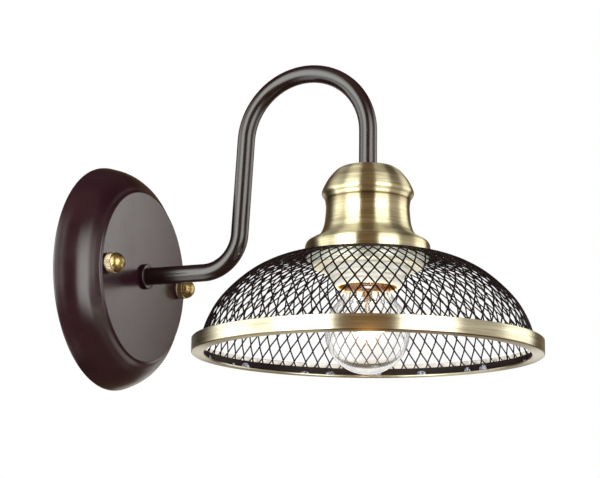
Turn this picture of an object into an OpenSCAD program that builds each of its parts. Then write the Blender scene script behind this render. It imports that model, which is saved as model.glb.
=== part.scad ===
// Gooseneck wall sconce with a domed wire-mesh shade, a brass cap and a clear lamp bulb.
// Millimetres. The wall is the plane y = 0 and the light reaches out along -Y, with +Z up.
// The origin is on the wall, at the centre of the wall plate and on the axis of the arm's wall end.

/* [Wall plate] */
// Diameter of the plate's rim against the wall
plate_d = 155.6; // [150:1:190]
// Distance from the wall to the plate's flat face
plate_depth = 26; // [22:0.5:34]
// Diameter of the raised flat face
plate_face_d = 119; // [117:0.5:124]
// Height of the step from the flank up to the flat face
plate_step = 2.4; // [1.5:0.1:3.5]
// Thickness of the spun steel
plate_sheet = 1; // [0.8:0.1:1.4]

/* [Arm] */
// Distance from the wall to the lamp's axis
reach = 190; // [180:1:215]
// Outer diameter of the tube
tube_d = 12; // [11.6:0.1:14]
// Wall of the tube
tube_wall = 1; // [0.8:0.05:1.05]
// Straight stretch from the plate's face to the first bend
arm_straight = 45.2; // [42:0.5:50]
// Centreline radius of the bend below the riser
low_bend_r = 26.4; // [22:0.5:30]
// Straight stretch of the riser
riser_length = 65.9; // [55:0.5:80]
// Lean of the riser away from the wall, in degrees
riser_lean = 3; // [0:0.5:6]
// Diameter of the collar between the plate and the tube
collar_d = 17.7; // [16:0.1:22]
// Thickness of that collar
collar_t = 3; // [1.6:0.1:4]

/* [Cap] */
// Height of the cap's top above the underside of the shade's rim
cap_top = 124.8; // [123:0.2:129]
// Thickness of the spun brass
cap_sheet = 0.8; // [0.6:0.1:1]
// Diameter of the flange that covers the shade's top edge
cap_flange_d = 81.8; // [81:0.2:86]
// Diameter of the waist
cap_waist_d = 55; // [54:0.5:58]
// Diameter of the bead under the cap's crown
cap_bead_d = 60.8; // [59:0.2:63]

/* [Shade] */
// Drop from the arm's wall end to the underside of the shade's rim
rim_drop = 62.3; // [58:0.1:70]
// Outer diameter of the rim band
rim_d = 226; // [224:1:232]
// Height of the rim band
rim_height = 9.5; // [8:0.5:14]
// Thickness of the rim band
rim_sheet = 1; // [0.8:0.1:1.4]
// Width of the lip turned in under the mesh
rim_lip = 7; // [6:0.5:10]
// Strands in each of the two slanting families of the mesh
mesh_strands = 56; // [44:2:58]
// Rows of gaps between the mesh's two borders
mesh_rows = 9; // [7:1:9]
// Width of a strand
strand_w = 1.4; // [1:0.1:1.8]
// Thickness of the mesh
mesh_t = 1; // [0.8:0.1:1.2]
// Height of the mesh's plain lower border
mesh_border = 3.4; // [2.5:0.1:5]

/* [Lampholder] */
// Height of the lampholder's mouth above the underside of the shade's rim
mouth_h = 45; // [44:0.5:47]
// Outer diameter of the threaded skirt
skirt_d = 40; // [39:0.5:42]
// Pitch of the bulb's screw shell
bulb_pitch = 3.629; // [3.6:0.001:3.66]
// Outer diameter of the bulb's screw shell, over the crests
bulb_shell_d = 26.05; // [25.8:0.05:26.3]

/* [Bulb] */
// Diameter of the globe
globe_d = 54.8; // [50:0.2:56]
// Length of the bulb from its contact to the bottom of the globe
bulb_length = 91.6; // [89:0.2:94]
// Thickness of the glass
glass_t = 0.8; // [0.6:0.1:1]
// Radius of the bowed filament
filament_r = 11; // [8:0.5:13]

/* [Fixings] */
// Distance between the two finial nuts
finial_spacing = 102.2; // [96:0.2:104]
// Diameter of a finial nut
finial_d = 14; // [11:0.5:14.5]
// Height of a finial nut's knurled skirt
finial_skirt = 5; // [3.5:0.1:6]
// Height of its domed end
finial_dome = 6; // [4.5:0.1:7]
// Distance between the two wall-screw slots
slot_spacing = 56; // [50:1:58]
// Length of a wall-screw slot
slot_length = 12; // [8:0.5:14]
// Width of a wall-screw slot
slot_w = 4.8; // [4:0.1:5.5]
// Thickness of the bracket
bracket_t = 2; // [1.5:0.1:2.5]
// Height of the bracket's strap
strap_w = 20; // [18:0.5:24]

/* [Hidden] */
$fn = 72;

// Colours
dark_bronze = [0.17, 0.12, 0.11];
antique_brass = [0.66, 0.58, 0.38];
bright_brass = [0.82, 0.68, 0.32];
zinc = [0.72, 0.73, 0.75];
porcelain = [0.93, 0.92, 0.88];
clear_glass = [0.85, 0.92, 0.95, 0.35];

// General clearances and standard parts
eps = 0.01;
slip = 0.05;
gap = 0.3;
m4_r = 2;
m10_r = 5;
m10_bore_r = 4;
m10_nut_flats = 14;
m10_nut_t = 3;
cap_washer_r = 8;
washer_t = 1;
wire_r = 1.1;

// Wall plate
plate_r = plate_d / 2;
face_r = plate_face_d / 2;
flank_depth = plate_depth - plate_step;
flank_root_r = face_r + 3;

// Arm centreline, as the stretches and turns of one run
collar_front = plate_depth + collar_t;
tube_r = tube_d / 2;
tube_bore_r = tube_r - tube_wall;
riser_turn = 90 - riser_lean;
riser_top_u = plate_depth + arm_straight + low_bend_r * sin(riser_turn) + riser_length * cos(riser_turn);
riser_top_z = low_bend_r * (1 - cos(riser_turn)) + riser_length * sin(riser_turn);
arch_turn = 90 + riser_turn;
arch_r = (reach - riser_top_u) / (1 + sin(riser_turn));
arch_end_z = riser_top_z - arch_r * cos(riser_turn);
cap_top_z = cap_top - rim_drop;
arm_drop = arch_end_z - cap_top_z;

// Cap: heights are above the underside of the shade's rim
flange_r = cap_flange_d / 2;
waist_r = cap_waist_d / 2;
bead_r = cap_bead_d / 2;
shade_top = 65.4;
flange_depth = 6.6;
flange_bottom = shade_top + slip;
flange_top = flange_bottom + flange_depth;
head_nipple_drop = 19.8;
head_nipple_low = cap_top - head_nipple_drop;
head_nipple_engaged = 12;

// Shade
rim_r = rim_d / 2;
mesh_seat = 0.2;
shade_bottom = rim_sheet + mesh_seat;
shade_bottom_r = rim_r - 3.5;
shade_collar_in = 37.6;
shade_collar_out = 41.6;

// Gallery cup and lampholder
cup_r = 36.9;
cup_floor = 58;
cup_sheet = 0.8;
cup_top = shade_top - mesh_t - mesh_seat;
skirt_r = skirt_d / 2;
skirt_top = 88;
skirt_collar_h = 3;
shell_seat = 80;
shell_sheet = 0.5;
shell_bore_r = bulb_shell_d / 2 + 0.35;
insert_r = 17.3;
insert_low = shell_seat + shell_sheet + slip;
terminal_x = 7;
terminal_h = 6.5;
terminal_w = 5;
boss_top = 113;
boss_r = 8;

// Bulb
tip_h = shell_seat;
globe_r = globe_d / 2;
bulb_bottom = tip_h - bulb_length;
globe_centre = bulb_bottom + globe_r;
shell_crest_r = bulb_shell_d / 2;
thread_depth = 1;
shell_turns = 5;
shell_top = tip_h - 4;
shell_bottom = shell_top - 1 - bulb_pitch * (shell_turns + 1);
neck_r = shell_crest_r - thread_depth - 0.7;
filament_h = globe_centre + 1.5;

// Fixings
stud_x = finial_spacing / 2;
joggle = 4;
strap_half = 40;
strap_end = stud_x + 7;
finial_washer_t = 0.8;
finial_base = plate_depth + finial_washer_t;
finial_bore_depth = finial_skirt + 2.9;
stud_tip = finial_base + 5.5;
stud_head_t = 2.4;
stud_nut_flats = 7;
stud_nut_t = 3.2;

// Terminal block, hanging on the bracket's tab
block_w = 30;
block_h = 18;
block_t = 12;
block_top = -26;
block_u = bracket_t + block_t / 2;
pole_pitch = 10;
tube_out_r = 2.35;
tube_in_r = 1.55;
clamp_z = 4.2;
tab_half = 17;
tab_bottom = block_top - block_h - 4;

// Wires
wire_x = 1.25;
wire_turn_r = 6;
wire_fan = 20;
wire_fan_r = 8;
wire_tail_u = block_u + wire_turn_r;
wire_grip = 5.5;
nipple_back = wire_tail_u + 2;
earth_x = 16;
earth_z = 6;
earth_barrel_low = earth_z - 11;
earth_barrel_h = 5;
earth_barrel_u = bracket_t + wire_r + 0.75;

// Points on a smooth curve through the key points, with so many steps to each span
function curve(keys, steps) = [
    for (i = [0 : len(keys) - 2], k = [0 : steps - 1])
        let (a = keys[max(i - 1, 0)], b = keys[i], c = keys[i + 1], d = keys[min(i + 2, len(keys) - 1)])
        let (t = k / steps)
        0.5 * (2 * b + (c - a) * t + (2 * a - 5 * b + 4 * c - d) * t * t + (3 * b - a - 3 * c + d) * pow(t, 3)),
    keys[len(keys) - 1]
];

// Points on an arc, from one angle to another
function arc(centre, r, from, to, steps) = [
    for (i = [0 : steps]) let (a = from + (to - from) * i / steps) centre + r * [cos(a), sin(a)]
];

function unit(v) = v / norm(v);
function left_of(v) = [-v.y, v.x];
function backwards(list) = [for (i = [len(list) - 1 : -1 : 0]) list[i]];

// A path moved sideways to its left
function beside(path, distance) = [
    for (i = [0 : len(path) - 1])
        path[i] + distance * left_of(unit(path[min(i + 1, len(path) - 1)] - path[max(i - 1, 0)]))
];

// A sheet of even thickness along a path, as a closed outline
module strip(path, thickness) {
    polygon(concat(path, backwards(beside(path, thickness))));
}

// A sheet-metal or glass shell, spun round Z
module spun(path, thickness) {
    rotate_extrude() strip(path, thickness);
}

module ring(outer_r, inner_r, height) {
    difference() {
        cylinder(r = outer_r, h = height);
        translate([0, 0, -1]) cylinder(r = inner_r, h = height + 2);
    }
}

module hex_nut(flats, bore_r, height) {
    difference() {
        cylinder(r = flats / 2 / cos(30), h = height, $fn = 6);
        translate([0, 0, -1]) cylinder(r = bore_r, h = height + 2);
    }
}

// Local Z points out from the wall, with local Y up
module from_wall(x = 0, u = 0, z = 0) {
    translate([x, -u, z]) rotate([90, 0, 0]) children();
}

// Local Z is the lamp's axis, from the underside of the shade's rim
module lamp_axis() {
    translate([0, -reach, -rim_drop]) children();
}

// A round bar that starts along +Z. A step [length] goes straight on,
// and [radius, angle, roll] turns towards local X after rolling about the bar.
// A hair-thin seam after each bend keeps the whole run one solid.
module run(steps, r, i = 0) {
    seam = 0.1;
    if (i < len(steps)) {
        step = steps[i];
        if (len(step) == 1) {
            cylinder(r = r, h = step[0]);
            translate([0, 0, step[0]]) run(steps, r, i + 1);
        } else {
            rotate([0, 0, step[2]]) {
                translate([step[0], 0, 0]) rotate([90, 0, 180]) rotate_extrude(angle = step[1])
                    translate([step[0], 0]) circle(r = r);
                translate([step[0], 0, 0]) rotate([0, step[1], 0]) translate([-step[0], 0, 0]) {
                    translate([0, 0, -seam]) cylinder(r = r + 0.02, h = 2 * seam);
                    run(steps, r, i + 1);
                }
            }
        }
    }
}

// The same steps with the two straight ends made longer
function longer(steps, by) = [
    for (i = [0 : len(steps) - 1]) i == 0 || i == len(steps) - 1 ? [steps[i][0] + by] : steps[i]
];

// A thin rod from one point to another
module rod(from, to, r) {
    v = to - from;
    translate(from)
        rotate([0, acos(v.z / norm(v)), atan2(v.y, v.x)]) cylinder(r = r, h = norm(v), $fn = 24);
}

// Wall plate and what holds it

plate_path = concat(
    [[0, plate_depth], [face_r - 1, plate_depth]],
    arc([face_r - 1, plate_depth - 1], 1, 80, 10, 3),
    curve([
        [face_r + 0.4, flank_depth + 0.6],
        [face_r + 1.4, flank_depth - 0.1],
        [flank_root_r, flank_depth - 0.7]
    ], 3),
    curve([
        [flank_root_r + (plate_r - flank_root_r) * 0.38, flank_depth * 0.81],
        [flank_root_r + (plate_r - flank_root_r) * 0.65, flank_depth * 0.6],
        [flank_root_r + (plate_r - flank_root_r) * 0.83, flank_depth * 0.38],
        [flank_root_r + (plate_r - flank_root_r) * 0.94, flank_depth * 0.17],
        [plate_r - 0.1, 1.2]
    ], 4),
    [[plate_r, 0]]
);

module backplate() {
    color(dark_bronze) difference() {
        from_wall() rotate_extrude()
            polygon(concat(plate_path, [[plate_r - plate_sheet, 0]],
                [for (p = backwards(beside(plate_path, -plate_sheet))) if (p.y > 1 && p.x > 0) p],
                [[0, plate_depth - plate_sheet]]));
        from_wall(u = plate_depth - 2 * plate_sheet) cylinder(r = m10_r + gap, h = 3 * plate_sheet);
        for (side = [-1, 1])
            from_wall(x = side * stud_x, u = plate_depth - 2 * plate_sheet)
                cylinder(r = m4_r + gap, h = 3 * plate_sheet);
    }
}

bracket_path = [
    [-strap_end, -joggle - bracket_t], [-strap_half - joggle, -joggle - bracket_t],
    [-strap_half, -bracket_t], [strap_half, -bracket_t],
    [strap_half + joggle, -joggle - bracket_t], [strap_end, -joggle - bracket_t]
];

module wall_bracket() {
    color(zinc) difference() {
        union() {
            translate([0, 0, -strap_w / 2]) linear_extrude(height = strap_w)
                polygon(concat(bracket_path, [for (p = backwards(bracket_path)) p + [0, bracket_t]]));
            translate([-tab_half, -bracket_t, tab_bottom])
                cube([2 * tab_half, bracket_t, -tab_bottom]);
        }
        for (side = [-1, 1]) {
            from_wall(x = side * stud_x) cylinder(r = m4_r + slip, h = 2 * joggle + bracket_t);
            from_wall(x = side * slot_spacing / 2, u = -1) linear_extrude(height = bracket_t + 2) {
                square([slot_length - slot_w, slot_w], center = true);
                for (end = [-1, 1])
                    translate([end * (slot_length - slot_w) / 2, 0]) circle(d = slot_w);
            }
        }
        from_wall(x = earth_x, z = earth_z, u = -1) cylinder(r = m4_r + slip, h = bracket_t + 2);
        from_wall(x = pole_pitch / 2, z = block_top - block_h / 2, u = -1)
            cylinder(r = 1.5 + slip, h = bracket_t + 2);
    }
}

module stud(side) {
    color(zinc) from_wall(x = side * stud_x) {
        translate([0, 0, joggle - stud_head_t]) difference() {
            cylinder(r = 3.8, h = stud_head_t - slip);
            translate([-4, -0.5, -eps]) cube([8, 1, 1]);
        }
        translate([0, 0, joggle - slip - eps]) cylinder(r = m4_r, h = stud_tip - joggle);
    }
}

module left_stud() { stud(-1); }
module right_stud() { stud(1); }

module stud_lock_nuts() {
    color(zinc) for (side = [-1, 1])
        from_wall(x = side * stud_x, u = joggle + bracket_t + slip)
            hex_nut(stud_nut_flats, m4_r + slip, stud_nut_t);
}

// A blind nut with a knurled skirt and a domed end
module finial(side) {
    r = finial_d / 2;
    knurls = 24;
    color(antique_brass) from_wall(x = side * stud_x, u = finial_base + slip) difference() {
        rotate_extrude() polygon(concat(
            [[0, 0], [r - 0.5, 0], [r, 0.5], [r, finial_skirt - 0.4], [r - 0.3, finial_skirt]],
            [for (a = [9 : 9 : 90]) [(r - 0.3) * cos(a), finial_skirt + finial_dome * sin(a)]]
        ));
        translate([0, 0, -1]) cylinder(r = m4_r + slip, h = finial_bore_depth + 1);
        for (i = [0 : knurls - 1])
            rotate([0, 0, 360 * i / knurls]) translate([r + 0.25, 0, -1]) rotate([0, 0, 45])
                translate([-0.5, -0.5, 0]) cube([1, 1, finial_skirt + 0.8]);
    }
}

module left_finial() { finial(-1); }
module right_finial() { finial(1); }

module finial_washer(side) {
    color(zinc) from_wall(x = side * stud_x, u = plate_depth + slip)
        ring(finial_d / 2 - 0.8, m4_r + slip, finial_washer_t - slip);
}

module left_washer() { finial_washer(-1); }
module right_washer() { finial_washer(1); }

// Terminals, earth point and wires

clamp_heights = [block_top - clamp_z, block_top - block_h + clamp_z];

module terminal_block() {
    screw_well_r = 1.75;
    color(porcelain) difference() {
        union() {
            translate([-block_w / 2, -bracket_t - block_t + 3, block_top - block_h])
                cube([block_w, block_t - 3, block_h]);
            for (pole = [-1 : 1])
                translate([pole * pole_pitch - 3.4, -bracket_t - block_t, block_top - block_h + 1])
                    cube([6.8, block_t - 1, block_h - 2]);
        }
        for (pole = [-1 : 1]) {
            translate([pole * pole_pitch, -block_u, block_top - block_h - 1])
                cylinder(r = tube_out_r + slip, h = block_h + 2);
            for (z = clamp_heights)
                from_wall(x = pole * pole_pitch, z = z, u = block_u)
                    cylinder(r = screw_well_r, h = block_t);
        }
        from_wall(x = pole_pitch / 2, z = block_top - block_h / 2, u = -1)
            cylinder(r = 1.5 + slip, h = 2 * block_t);
    }
}

module terminal_tubes() {
    color(bright_brass) for (pole = [-1 : 1]) difference() {
        translate([pole * pole_pitch, -block_u, block_top - block_h + 1])
            ring(tube_out_r, tube_in_r, block_h - 2);
        for (z = clamp_heights)
            from_wall(x = pole * pole_pitch, z = z, u = block_u) cylinder(r = 1.3, h = block_t);
    }
}

module terminal_screws() {
    color(zinc) for (pole = [-1 : 1], z = clamp_heights)
        from_wall(x = pole * pole_pitch, z = z, u = block_u + wire_r + slip) {
            cylinder(r = 1.25, h = 3);
            translate([0, 0, 1.6]) difference() {
                cylinder(r = 1.6, h = 2.2);
                translate([-2, -0.3, 1.4]) cube([4, 0.6, 1]);
            }
        }
}

module terminal_fixing_screw() {
    color(zinc) from_wall(x = pole_pitch / 2, z = block_top - block_h / 2) {
        cylinder(r = 1.5, h = bracket_t + block_t - 3 + 1);
        translate([0, 0, bracket_t + block_t - 3 + slip]) difference() {
            cylinder(r = 1.58, h = 1.8);
            translate([-2, -0.3, 1]) cube([4, 0.6, 1]);
        }
    }
}

lug_t = 0.8;

module earth_screw() {
    color(bright_brass) from_wall(x = earth_x, z = earth_z) {
        translate([0, 0, slip]) cylinder(r = m4_r, h = bracket_t + 2 * lug_t + 1);
        translate([0, 0, bracket_t + lug_t + 2 * slip]) difference() {
            cylinder(r = 3.8, h = 2.4);
            translate([-4, -0.5, 1.4]) cube([8, 1, 2]);
        }
    }
}

// Ring lug on the earth screw, with its crimped barrel below
module earth_lug() {
    color(zinc) difference() {
        union() {
            from_wall(x = earth_x, z = earth_z, u = bracket_t + slip) cylinder(r = 4.2, h = lug_t);
            from_wall(x = earth_x, z = earth_barrel_low, u = bracket_t + slip)
                translate([-1.7, 1, 0]) cube([3.4, earth_z - earth_barrel_low - 4, lug_t]);
            translate([earth_x, -earth_barrel_u, earth_barrel_low])
                cylinder(r = wire_r + 0.6, h = earth_barrel_h);
        }
        from_wall(x = earth_x, z = earth_z) cylinder(r = m4_r + slip, h = 8);
        translate([earth_x, -earth_barrel_u, earth_barrel_low - 1])
            cylinder(r = wire_r + slip, h = earth_barrel_h + 2);
    }
}

arm_steps = [
    [plate_depth + arm_straight - collar_front],
    [low_bend_r, riser_turn, 90],
    [riser_length],
    [arch_r, arch_turn, 180],
    [arm_drop]
];

// The two wires spread from the nipple to the terminal block, and from the head nipple to the lampholder
fan_reach = pole_pitch - wire_x - wire_turn_r * sin(wire_fan) - wire_fan_r * (1 - cos(wire_fan));
fan_length = fan_reach / sin(wire_fan);
fan_end_z = -wire_turn_r * cos(wire_fan) - fan_length * cos(wire_fan) - wire_fan_r * sin(wire_fan);
holder_bend_r = 4;
holder_bend = 45;
holder_fan = (terminal_x - wire_x - 2 * holder_bend_r * (1 - cos(holder_bend))) / sin(holder_bend);
insert_top = skirt_top;

module lamp_wire(side) {
    tail = [
        [collar_front - wire_tail_u],
        [wire_turn_r, 90, 90 - side * wire_fan],
        [fan_length],
        [wire_fan_r, wire_fan, side * 90],
        [fan_end_z - block_top + wire_grip]
    ];
    head = [
        [plate_depth + arm_straight - collar_front],
        [low_bend_r, riser_turn, 90],
        [riser_length],
        [arch_r, arch_turn, 180],
        [arm_drop + cap_top - head_nipple_low + 0.5],
        [holder_bend_r, holder_bend, side * 90],
        [holder_fan],
        [holder_bend_r, holder_bend, 180],
        [head_nipple_low - 0.5 - 2 * holder_bend_r * sin(holder_bend) - holder_fan * cos(holder_bend)
            - insert_top - 3]
    ];
    translate([side * wire_x, -collar_front, 0]) {
        rotate([-90, 0, 0]) run(tail, wire_r, $fn = 24);
        rotate([90, 0, 0]) run(head, wire_r, $fn = 24);
    }
}

module live_wire() { color("saddlebrown") lamp_wire(1); }
module neutral_wire() { color("steelblue") lamp_wire(-1); }

// From the middle pole back towards the bracket, behind the live wire, and up to the earth lug
module earth_wire() {
    back = block_u - earth_barrel_u;
    back_bend = 50;
    back_r = 3;
    back_slant = (back - 2 * back_r * (1 - cos(back_bend))) / sin(back_bend);
    back_rise = 2 * back_r * sin(back_bend) + back_slant * cos(back_bend);
    side_bend = 70;
    side_r = 5;
    side_slant = (earth_x - 2 * side_r * (1 - cos(side_bend))) / sin(side_bend);
    side_rise = 2 * side_r * sin(side_bend) + side_slant * cos(side_bend);
    start = block_top - wire_grip;
    first = 6;
    color("yellowgreen") translate([0, -block_u, start])
        run([
            [first],
            [back_r, back_bend, 90],
            [back_slant],
            [back_r, back_bend, 180],
            [0.5],
            [side_r, side_bend, 90],
            [side_slant],
            [side_r, side_bend, 180],
            [earth_barrel_low + earth_barrel_h - 1 - start - first - back_rise - 0.5 - side_rise]
        ], wire_r, $fn = 24);
}

// Arm

module arm_tube() {
    color(dark_bronze) from_wall(u = collar_front) difference() {
        run(arm_steps, tube_r, $fn = 48);
        translate([0, 0, -1]) run(longer(arm_steps, 1), tube_bore_r, $fn = 48);
    }
}

module arm_collar() {
    r = collar_d / 2;
    color(dark_bronze) from_wall(u = plate_depth) rotate_extrude() polygon([
        [m10_r + slip, 0], [r, 0], [r, collar_t - 0.7], [r - 0.8, collar_t], [m10_r + slip, collar_t]
    ]);
}

module arm_nipple() {
    color(zinc) from_wall(u = nipple_back)
        ring(min(m10_r, tube_bore_r) - slip, m10_bore_r, collar_front + 10 - nipple_back);
}

module arm_lock_washer() {
    color(zinc) from_wall(u = plate_depth - plate_sheet - washer_t) ring(9.5, m10_r + slip, washer_t);
}

module arm_lock_nut() {
    color(zinc) from_wall(u = plate_depth - plate_sheet - washer_t - m10_nut_t)
        hex_nut(m10_nut_flats, m10_r + slip, m10_nut_t);
}

// Plastic bush that keeps the nipple's edge off the wires
module nipple_bush() {
    lip = 1;
    color(porcelain) from_wall(u = nipple_back - lip) {
        ring(m10_r - slip, wire_x + wire_r + 0.6, lip);
        translate([0, 0, lip - eps]) ring(m10_bore_r - slip, wire_x + wire_r + 0.6, 4);
    }
}

module head_nipple() {
    color(zinc) lamp_axis() translate([0, 0, head_nipple_low])
        ring(min(m10_r, tube_bore_r) - slip, m10_bore_r, cap_top + head_nipple_engaged - head_nipple_low);
}

module cap_lock_washer() {
    color(zinc) lamp_axis() translate([0, 0, cap_top - cap_sheet - washer_t])
        ring(cap_washer_r, m10_r + slip, washer_t);
}

module cap_lock_nut() {
    color(zinc) lamp_axis() translate([0, 0, cap_top - cap_sheet - washer_t - m10_nut_t])
        hex_nut(m10_nut_flats, m10_r + slip, m10_nut_t);
}

// Cap

cap_path = concat(
    [[m10_r + slip, cap_top], [15, cap_top]],
    curve([
        [17.6, cap_top - 0.2],
        [19.4, cap_top - 0.9],
        [bead_r - 8.3, cap_top - 3.1],
        [bead_r - 4.4, cap_top - 7.8],
        [bead_r - 2.1, cap_top - 11.8],
        [bead_r - 0.8, cap_top - 14.6],
        [bead_r, cap_top - 17.2],
        [bead_r - 0.4, cap_top - 18.6],
        [bead_r - 1.6, cap_top - 20.2],
        [waist_r + 0.6, cap_top - 22.2],
        [waist_r + 0.1, cap_top - 24],
        [waist_r, cap_top - 27.6],
        [waist_r + 0.7, cap_top - 36],
        [waist_r + 1.4, flange_top + 13],
        [waist_r + 3, flange_top + 9],
        [waist_r + 5.6, flange_top + 5.9],
        [flange_r - 4.5, flange_top + 3.9],
        [flange_r - 1.6, flange_top + 2.3],
        [flange_r - 0.3, flange_top + 0.6],
        [flange_r, flange_top - 0.8]
    ], 3),
    [[flange_r, flange_bottom]]
);

module socket_cap() {
    color(antique_brass) lamp_axis() spun(cap_path, -cap_sheet);
}

// Shade

// A point of the dome, as shares of its spread from collar to rim and of its rise from rim to collar
function dome(spread, rise) = [
    shade_collar_out + (shade_bottom_r - shade_collar_out) * spread,
    shade_bottom + (shade_top - shade_bottom) * rise
];

shade_path = curve([
    [shade_collar_in, shade_top],
    [shade_collar_out, shade_top],
    dome(0.124, 0.975),
    dome(0.271, 0.935),
    dome(0.418, 0.866),
    dome(0.566, 0.766),
    dome(0.713, 0.626),
    dome(0.831, 0.477),
    dome(0.919, 0.297),
    dome(0.972, 0.121),
    [shade_bottom_r - 0.4, shade_bottom + mesh_border],
    [shade_bottom_r, shade_bottom]
], 4);

// Distances along the path, from its start to each of its points
function distances(path, i = 0, so_far = 0) = i == len(path) - 1 ? [so_far]
    : concat([so_far], distances(path, i + 1, so_far + norm(path[i + 1] - path[i])));

shade_lengths = distances(shade_path);
shade_length = shade_lengths[len(shade_lengths) - 1];

// The shade's outline and its outward direction at a distance along it
function shade_span(s) = max([for (i = [0 : len(shade_path) - 2]) if (shade_lengths[i] <= s) i]);
function shade_at(s) = let (i = shade_span(s), a = shade_path[i], b = shade_path[i + 1])
    a + (b - a) * (s - shade_lengths[i]) / (shade_lengths[i + 1] - shade_lengths[i]);
function shade_out(s) = let (i = shade_span(s))
    left_of(unit(shade_path[min(i + 2, len(shade_path) - 1)] - shade_path[max(i - 1, 0)]));

collar_strip = shade_collar_out - shade_collar_in;
mesh_top_s = collar_strip + 1.5;
mesh_low_s = shade_length - mesh_border;
mesh_row_s = (mesh_low_s - mesh_top_s) / mesh_rows;

// A point of the mesh at a distance along the outline, an angle and a depth below the outer face
function mesh_point(s, angle, depth) =
    let (p = shade_at(s) - depth * shade_out(s)) [p.x * cos(angle), p.x * sin(angle), p.y];

// Where strands cross they share a diamond, with corners left, top, right and bottom
function knot(i, j) =
    let (
        s = mesh_top_s + j * mesh_row_s,
        step = 360 / mesh_strands,
        angle = (i + (j % 2) / 2) * step,
        r = shade_at(s).x,
        slant = atan(r * step * PI / 360 / mesh_row_s),
        half_w = strand_w / 2 / cos(slant) / r * 180 / PI,
        half_h = min(strand_w / 2 / sin(slant), mesh_row_s * 0.3),
        up = j == 0 ? s : half_h,
        down = j == mesh_rows ? shade_length - s : half_h
    )
    [for (depth = [0, mesh_t]) each [
        mesh_point(s, angle - half_w, depth),
        mesh_point(j == 0 ? 0 : s - half_h, angle, depth),
        mesh_point(s, angle + half_w, depth),
        mesh_point(j == mesh_rows ? shade_length - eps : s + half_h, angle, depth)
    ]];

module shade_mesh() {
    color(dark_bronze) lamp_axis() mesh_net();
}

module mesh_net() {
    n = mesh_strands;
    m = mesh_rows;
    step = 360 / n;
    // Eight points to a knot: outer left, top, right, bottom, then the same four of the inner face
    knots = [for (j = [0 : m], i = [0 : n - 1]) each knot(i, j)];
    base = len(knots);
    // Each border has its own edge points, above or below the left and right corners
    function border(j, s) = [for (i = [0 : n - 1], depth = [0, mesh_t], side = [-1, 1])
        let (k = knots[8 * (j * n + i) + 1 + side], angle = atan2(k.y, k.x))
        mesh_point(s, angle, depth)];
    points = concat(knots, border(0, 0), border(m, shade_length - eps));

    // Point numbers
    function at(i, j, corner, inner) = 8 * (j * n + (i + n) % n) + corner + 4 * inner;
    function left(i, j, inner) = at(i, j, 0, inner);
    function top(i, j, inner) = at(i, j, 1, inner);
    function right(i, j, inner) = at(i, j, 2, inner);
    function bottom(i, j, inner) = at(i, j, 3, inner);
    function edge(i, low, side, inner) = base + 4 * n * low + 4 * ((i + n) % n) + 2 * inner + side;

    // The knots one row down, to the left and to the right
    function down_left(i, j) = j % 2 == 0 ? i - 1 : i;
    function down_right(i, j) = j % 2 == 0 ? i : i + 1;

    // Faces of the outer skin, clockwise from outside
    function skin(inner) = concat(
        [for (j = [1 : m - 1], i = [0 : n - 1])
            [left(i, j, inner), top(i, j, inner), right(i, j, inner), bottom(i, j, inner)]],
        [for (j = [0 : m - 1], i = [0 : n - 1]) let (c = down_right(i, j), a = down_left(i, j)) each [
            [right(i, j, inner), top(c, j + 1, inner), left(c, j + 1, inner), bottom(i, j, inner)],
            [bottom(i, j, inner), right(a, j + 1, inner), top(a, j + 1, inner), left(i, j, inner)]
        ]],
        [for (i = [0 : n - 1]) each [
            [edge(i, 0, 0, inner), edge(i, 0, 1, inner), right(i, 0, inner), left(i, 0, inner)],
            [left(i, 0, inner), right(i, 0, inner), bottom(i, 0, inner)],
            [edge(i, 0, 1, inner), edge(i + 1, 0, 0, inner), left(i + 1, 0, inner), right(i, 0, inner)],
            [left(i, m, inner), top(i, m, inner), right(i, m, inner)],
            [left(i, m, inner), right(i, m, inner), edge(i, 1, 1, inner), edge(i, 1, 0, inner)],
            [right(i, m, inner), left(i + 1, m, inner), edge(i + 1, 1, 0, inner), edge(i, 1, 1, inner)]
        ]]
    );

    // Loops of point numbers round each gap and along the two borders, on the outer skin
    loops = concat(
        [for (j = [0 : m - 2], i = [0 : n - 1])
            [bottom(i, j, 0), left(down_right(i, j), j + 1, 0), top(i, j + 2, 0),
                right(down_left(i, j), j + 1, 0)]],
        [for (i = [0 : n - 1]) [right(i, 0, 0), left(i + 1, 0, 0), top(i, 1, 0)]],
        [for (i = [0 : n - 1]) [bottom(i, m - 1, 0), left(down_right(i, m - 1), m, 0),
            right(down_left(i, m - 1), m, 0)]]
    );
    function inside(point) = point < base ? point + 4 : point + 2;
    walls = [for (loop = loops, k = [0 : len(loop) - 1])
        let (a = loop[k], b = loop[(k + 1) % len(loop)]) [a, b, inside(b), inside(a)]];
    hems = [for (i = [0 : n - 1]) each [
        [edge(i, 0, 1, 0), edge(i, 0, 0, 0), edge(i, 0, 0, 1), edge(i, 0, 1, 1)],
        [edge(i + 1, 0, 0, 0), edge(i, 0, 1, 0), edge(i, 0, 1, 1), edge(i + 1, 0, 0, 1)],
        [edge(i, 1, 0, 0), edge(i, 1, 1, 0), edge(i, 1, 1, 1), edge(i, 1, 0, 1)],
        [edge(i, 1, 1, 0), edge(i + 1, 1, 0, 0), edge(i + 1, 1, 0, 1), edge(i, 1, 1, 1)]
    ]];

    function split(face) = len(face) == 3 ? [face] : [[face[0], face[1], face[2]], [face[0], face[2], face[3]]];
    faces = [for (f = concat(skin(0), [for (f = skin(1)) backwards(f)], walls, hems)) each split(f)];
    polyhedron(points, faces, convexity = 10);
}

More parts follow.
